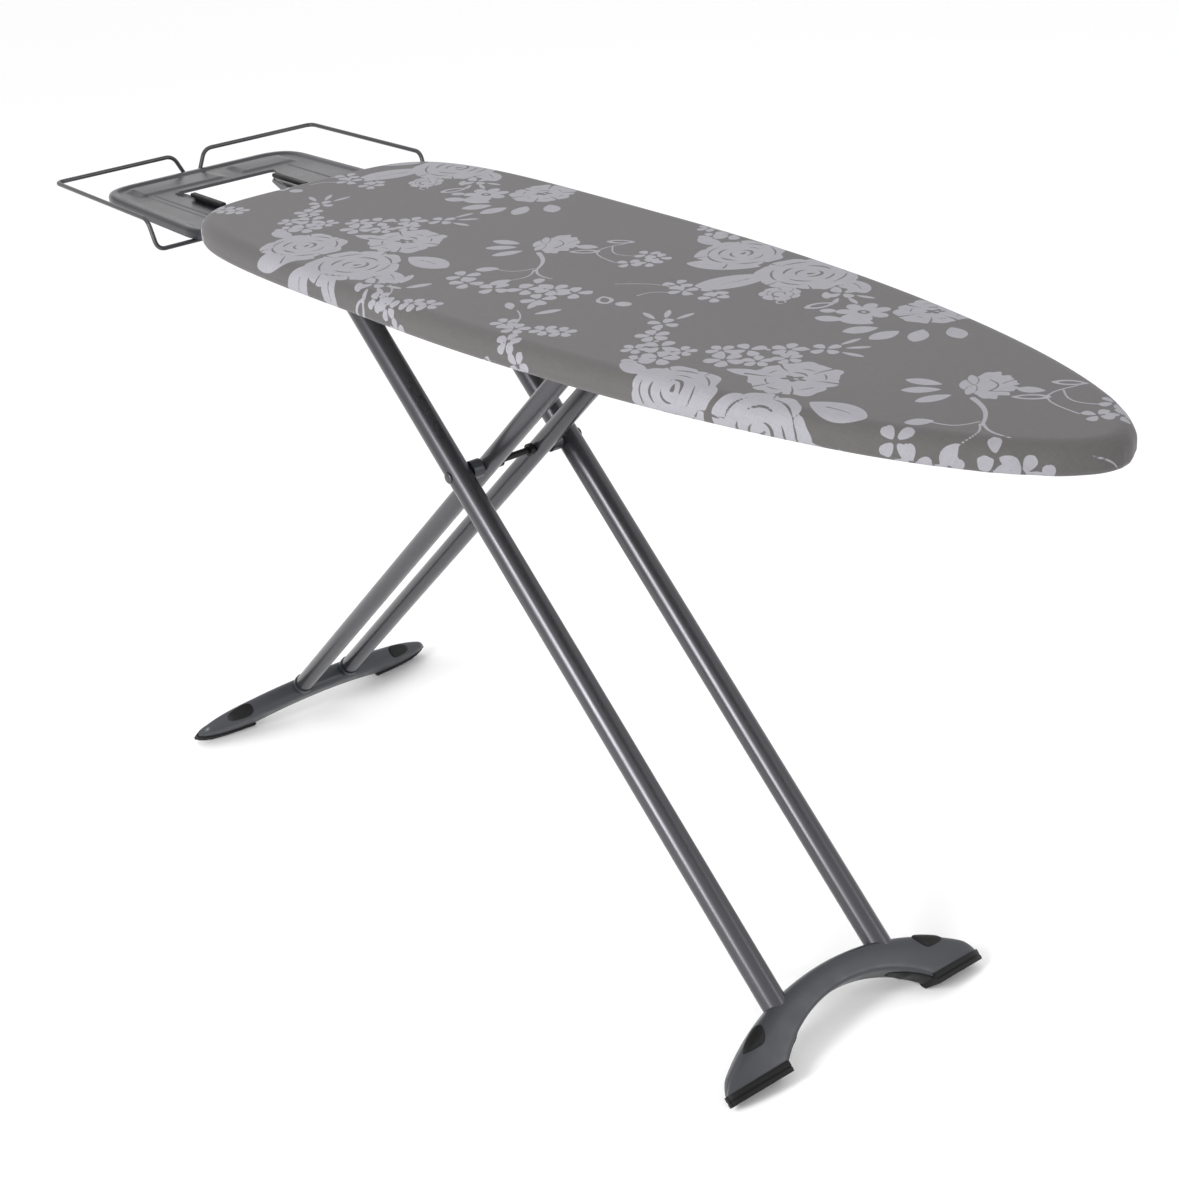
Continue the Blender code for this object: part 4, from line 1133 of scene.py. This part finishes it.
def make_legs():
    for side, label in SIDES:
        make_leg_tube(f"wide_leg_tube_{label}", WIDE, "wide_leg", TUBE_TOP, 0.712,
                      side * 0.0795, 0.0150)
        make_leg_tube(f"narrow_leg_tube_{label}", NARROW, "narrow_leg", TUBE_TOP, 0.715,
                      side * 0.0380, 0.0120, 0.90)
    Bow("front_foot", WIDE, "wide_leg", FRONT_BOW).make(-0.75)
    Bow("rear_foot", NARROW, "narrow_leg", REAR_BOW).make(0.0)


# ---- iron rest ----------------------------------------------------------------------------
TRAY_TOP, TRAY_SKIRT, SHEET = TRAY_HIGH.z, TRAY_HIGH.z - TRAY_LOW.z, 0.0012
TRAY_REAR_HALF, TRAY_CORNER, TRAY_ROLL = 0.144, 0.050, 0.0050
# the corners of its opening, counted from the board's tail and its middle
OPENING = ((-0.184, -0.076), (-0.184, 0.067), (-0.164, 0.060), (-0.142, 0.038), (-0.083, 0.020),
           (-0.020, 0.020), (-0.020, -0.069), (-0.163, -0.069))


def rounded_loop(corners, radius, steps=10):
    """A closed outline through corners, each rounded by a quadratic curve."""
    loop = []
    spots = [np.array(c, float) for c in corners]
    for before, corner, after in zip(spots[-1:] + spots[:-1], spots, spots[1:] + spots[:1]):
        back, ahead = before - corner, after - corner
        reach = min(radius, np.hypot(*back) * 0.45, np.hypot(*ahead) * 0.45)
        start = corner + back / np.hypot(*back) * reach
        end = corner + ahead / np.hypot(*ahead) * reach
        for t in np.linspace(0.0, 1.0, steps):
            loop.append(start * (1 - t) ** 2 + corner * 2 * t * (1 - t) + end * t ** 2)
    return np.array(loop)


def rays(loop, centre, turns):
    """Where rays from centre meet a closed outline."""
    ahead = np.roll(loop, -1, 0)
    found = []
    for turn in turns:
        way = unit(turn)
        side = np.array([-way[1], way[0]])
        a, b = (loop - centre) @ side, (ahead - centre) @ side
        cross = np.nonzero((a * b <= 0.0) & (a != b))[0]
        share = a[cross] / (a[cross] - b[cross])
        spots = loop[cross] + (ahead[cross] - loop[cross]) * share[:, None]
        reach = (spots - centre) @ way
        best = np.argmax(np.where(reach > 0, reach, -1.0))
        found.append(spots[best])
    return np.array(found)


def smooth(value, low, high):
    t = np.clip((value - low) / (high - low), 0.0, 1.0)
    return t * t * (3.0 - 2.0 * t)


def tray_relief(x, y, edge):
    """Depth of the pressing: a raised border, two long panels at the rear and a step line."""
    depth = 0.0024 * smooth(edge, 0.008, 0.0165)
    rear = TRAY_LOW.x
    across = smooth(x, rear + 0.020, rear + 0.028) * (1 - smooth(x, rear + 0.062, rear + 0.072))
    for start, end in ((-0.120, 0.014), (0.030, 0.122)):
        along = smooth(y, start, start + 0.012) * (1 - smooth(y, end - 0.012, end))
        depth = depth - 0.0022 * along * across
    line = smooth(y, -TRAY_REAR_HALF + 0.034, -TRAY_REAR_HALF + 0.037)
    return depth + 0.0007 * (1 - line) * smooth(edge, 0.010, 0.020)


def edge_distance(spots, loop):
    gaps = np.full(len(spots), 1.0)
    for a, b in zip(loop, np.roll(loop, -1, 0)):
        gaps = np.minimum(gaps, to_segment(spots, a, b - a)[1])
    return gaps


def make_tray():
    """Pressed sheet: relief between the outer edge and the opening, and a rolled skirt."""
    count, rows = 480, 74
    outer = rounded_loop([(TRAY_LOW.x, -TRAY_REAR_HALF), (TRAY_HIGH.x, -TRAY_HIGH.y),
                          (TRAY_HIGH.x, TRAY_HIGH.y), (TRAY_LOW.x, TRAY_REAR_HALF)],
                         TRAY_CORNER, 24)
    hole = rounded_loop([(TAIL + x, y) for x, y in OPENING], 0.007)
    centre = np.array([TAIL - 0.095, -0.030])
    turns = np.linspace(0.0, 2 * pi, count, endpoint=False)
    rim, inner = rays(outer, centre, turns), rays(hole, centre, turns)
    normal = np.roll(rim, -1, 0) - np.roll(rim, 1, 0)
    normal = np.stack([normal[:, 1], -normal[:, 0]], 1) / np.linalg.norm(normal, axis=1)[:, None]
    section = [(0.0, -TRAY_SKIRT), (0.0, -0.0075), (0.0, -TRAY_ROLL)]
    section += [(TRAY_ROLL * (1 - cos(turn)), -TRAY_ROLL + TRAY_ROLL * sin(turn))
                for turn in np.linspace(0.0, pi / 2, 8)[1:-1]]
    rings = [raised(rim - normal * inset, TRAY_TOP + rise) for inset, rise in section]
    start = rim - normal * TRAY_ROLL
    for share in np.linspace(0.0, 1.0, rows) ** 1.1:
        spot = start + (inner - start) * share
        depth = tray_relief(spot[:, 0], spot[:, 1], edge_distance(spot, outer)) * (
            1 - smooth(share, 0.90, 0.95)) + 0.0022 * smooth(share, 0.955, 1.0)
        rings.append(raised(spot, TRAY_TOP - 0.00005 - depth))
    tray = mesh_object("pressed_tray", np.concatenate(rings), quads(len(rings), count))
    thicken(tray, SHEET)
    tray.data.set_sharp_from_angle(angle=radians(50))
    finished(tray, "board", "tray_steel", ["iron_rest_tray"])


def thicken(obj, thickness):
    """Turn an open sheet's top upward and give it its thickness, below its top."""
    if sum(face.normal.z * face.area for face in obj.data.polygons) < 0:
        obj.data.flip_normals()
    wall = obj.modifiers.new("sheet", "SOLIDIFY")
    wall.thickness, wall.offset = thickness, -1.0
    graph = bpy.context.evaluated_depsgraph_get()
    mesh = bpy.data.meshes.new_from_object(obj.evaluated_get(graph))
    obj.modifiers.clear()
    obj.data = mesh
    mesh.shade_smooth()


def make_wires():
    """Bent wire guards beside the tray, welded under it."""
    low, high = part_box("wire_rail_left")
    radius, middle, bend, rise = 0.00275, 0.007, 0.011, -0.531
    level, top = low.z + radius, high.z - radius
    rear, front, tray = low.x + radius, high.x - radius, TRAY_LOW.x
    for side, label in SIDES:
        route = [(tray + 0.025, middle, level), (tray - 0.006, middle, level),
                 (rear, 0.024, top), (rear, 0.193, top), (rise, 0.200, top),
                 (front, 0.198, level), (front, 0.090, level)]
        route = bent([(x, side * y, z) for x, y, z in route], bend, 9)
        wire = tube(f"bent_wire_{label}", route, radius, 18)
        finished(wire, "board", "wire", [f"wire_rail_{label}"])


def dress_nodes():
    """The frame's own nodes that stay take the material of their slot; the foot collars and axle spacers take the
    grey foot shell's.
    """
    slots = {row["node"]: row["material_slot"] for row in frame["record"]["subparts"]}
    for name, obj in frame["nodes"].items():
        grey = name.startswith(("foot_collar", "axle_spacer"))
        obj.data.materials.clear()
        obj.data.materials.append(LOOKS["foot_shell" if grey else slots[name]])
        obj.data.shade_smooth()
        obj.data.set_sharp_from_angle(angle=radians(38))


# ---- studio -------------------------------------------------------------------------------
def make_floor():
    bpy.ops.mesh.primitive_plane_add(size=60.0, location=(0.0, 0.0, -0.0004))
    floor = bpy.context.object
    floor.name = "floor"
    s = Shader("pale_floor")
    s.set(Base_Color=s.tint((0.965, 0.965, 0.965), s.noise(0.8, 2.0), 0.004), Roughness=0.9)
    floor.data.materials.append(s.material)


def area_light(name, at, aim, size, power):
    light = bpy.data.lights.new(name, "AREA")
    light.shape = "RECTANGLE"
    light.size, light.size_y = size
    light.energy = power
    made = bpy.data.objects.new(name, light)
    made.location = at
    made.rotation_euler = (Vector(aim) - Vector(at)).to_track_quat("-Z", "Y").to_euler()
    bpy.context.scene.collection.objects.link(made)


def make_studio():
    make_floor()
    world = bpy.data.worlds.new("studio")
    world.use_nodes = True
    sky = world.node_tree.nodes["Background"].inputs
    sky["Color"].default_value, sky["Strength"].default_value = (1.0, 1.0, 1.0, 1.0), 1.0
    bpy.context.scene.world = world
    area_light("key", (0.45, -2.6, 1.45), (0.17, -0.08, 0.28), (0.60, 1.5), 62.0)
    area_light("top", (-0.6, -0.6, 3.2), (0.0, 0.0, 0.7), (2.0, 1.4), 8.0)
    area_light("rim", (2.6, 1.6, 1.6), (0.2, 0.0, 0.4), (0.3, 1.6), 14.0)
    bpy.context.scene.view_settings.view_transform = "Standard"


for make in (make_camera, make_studio, dress_nodes, make_cover, make_felt, make_panel, make_rim,
             make_legs, make_rivets, make_tray, make_wires):
    make()
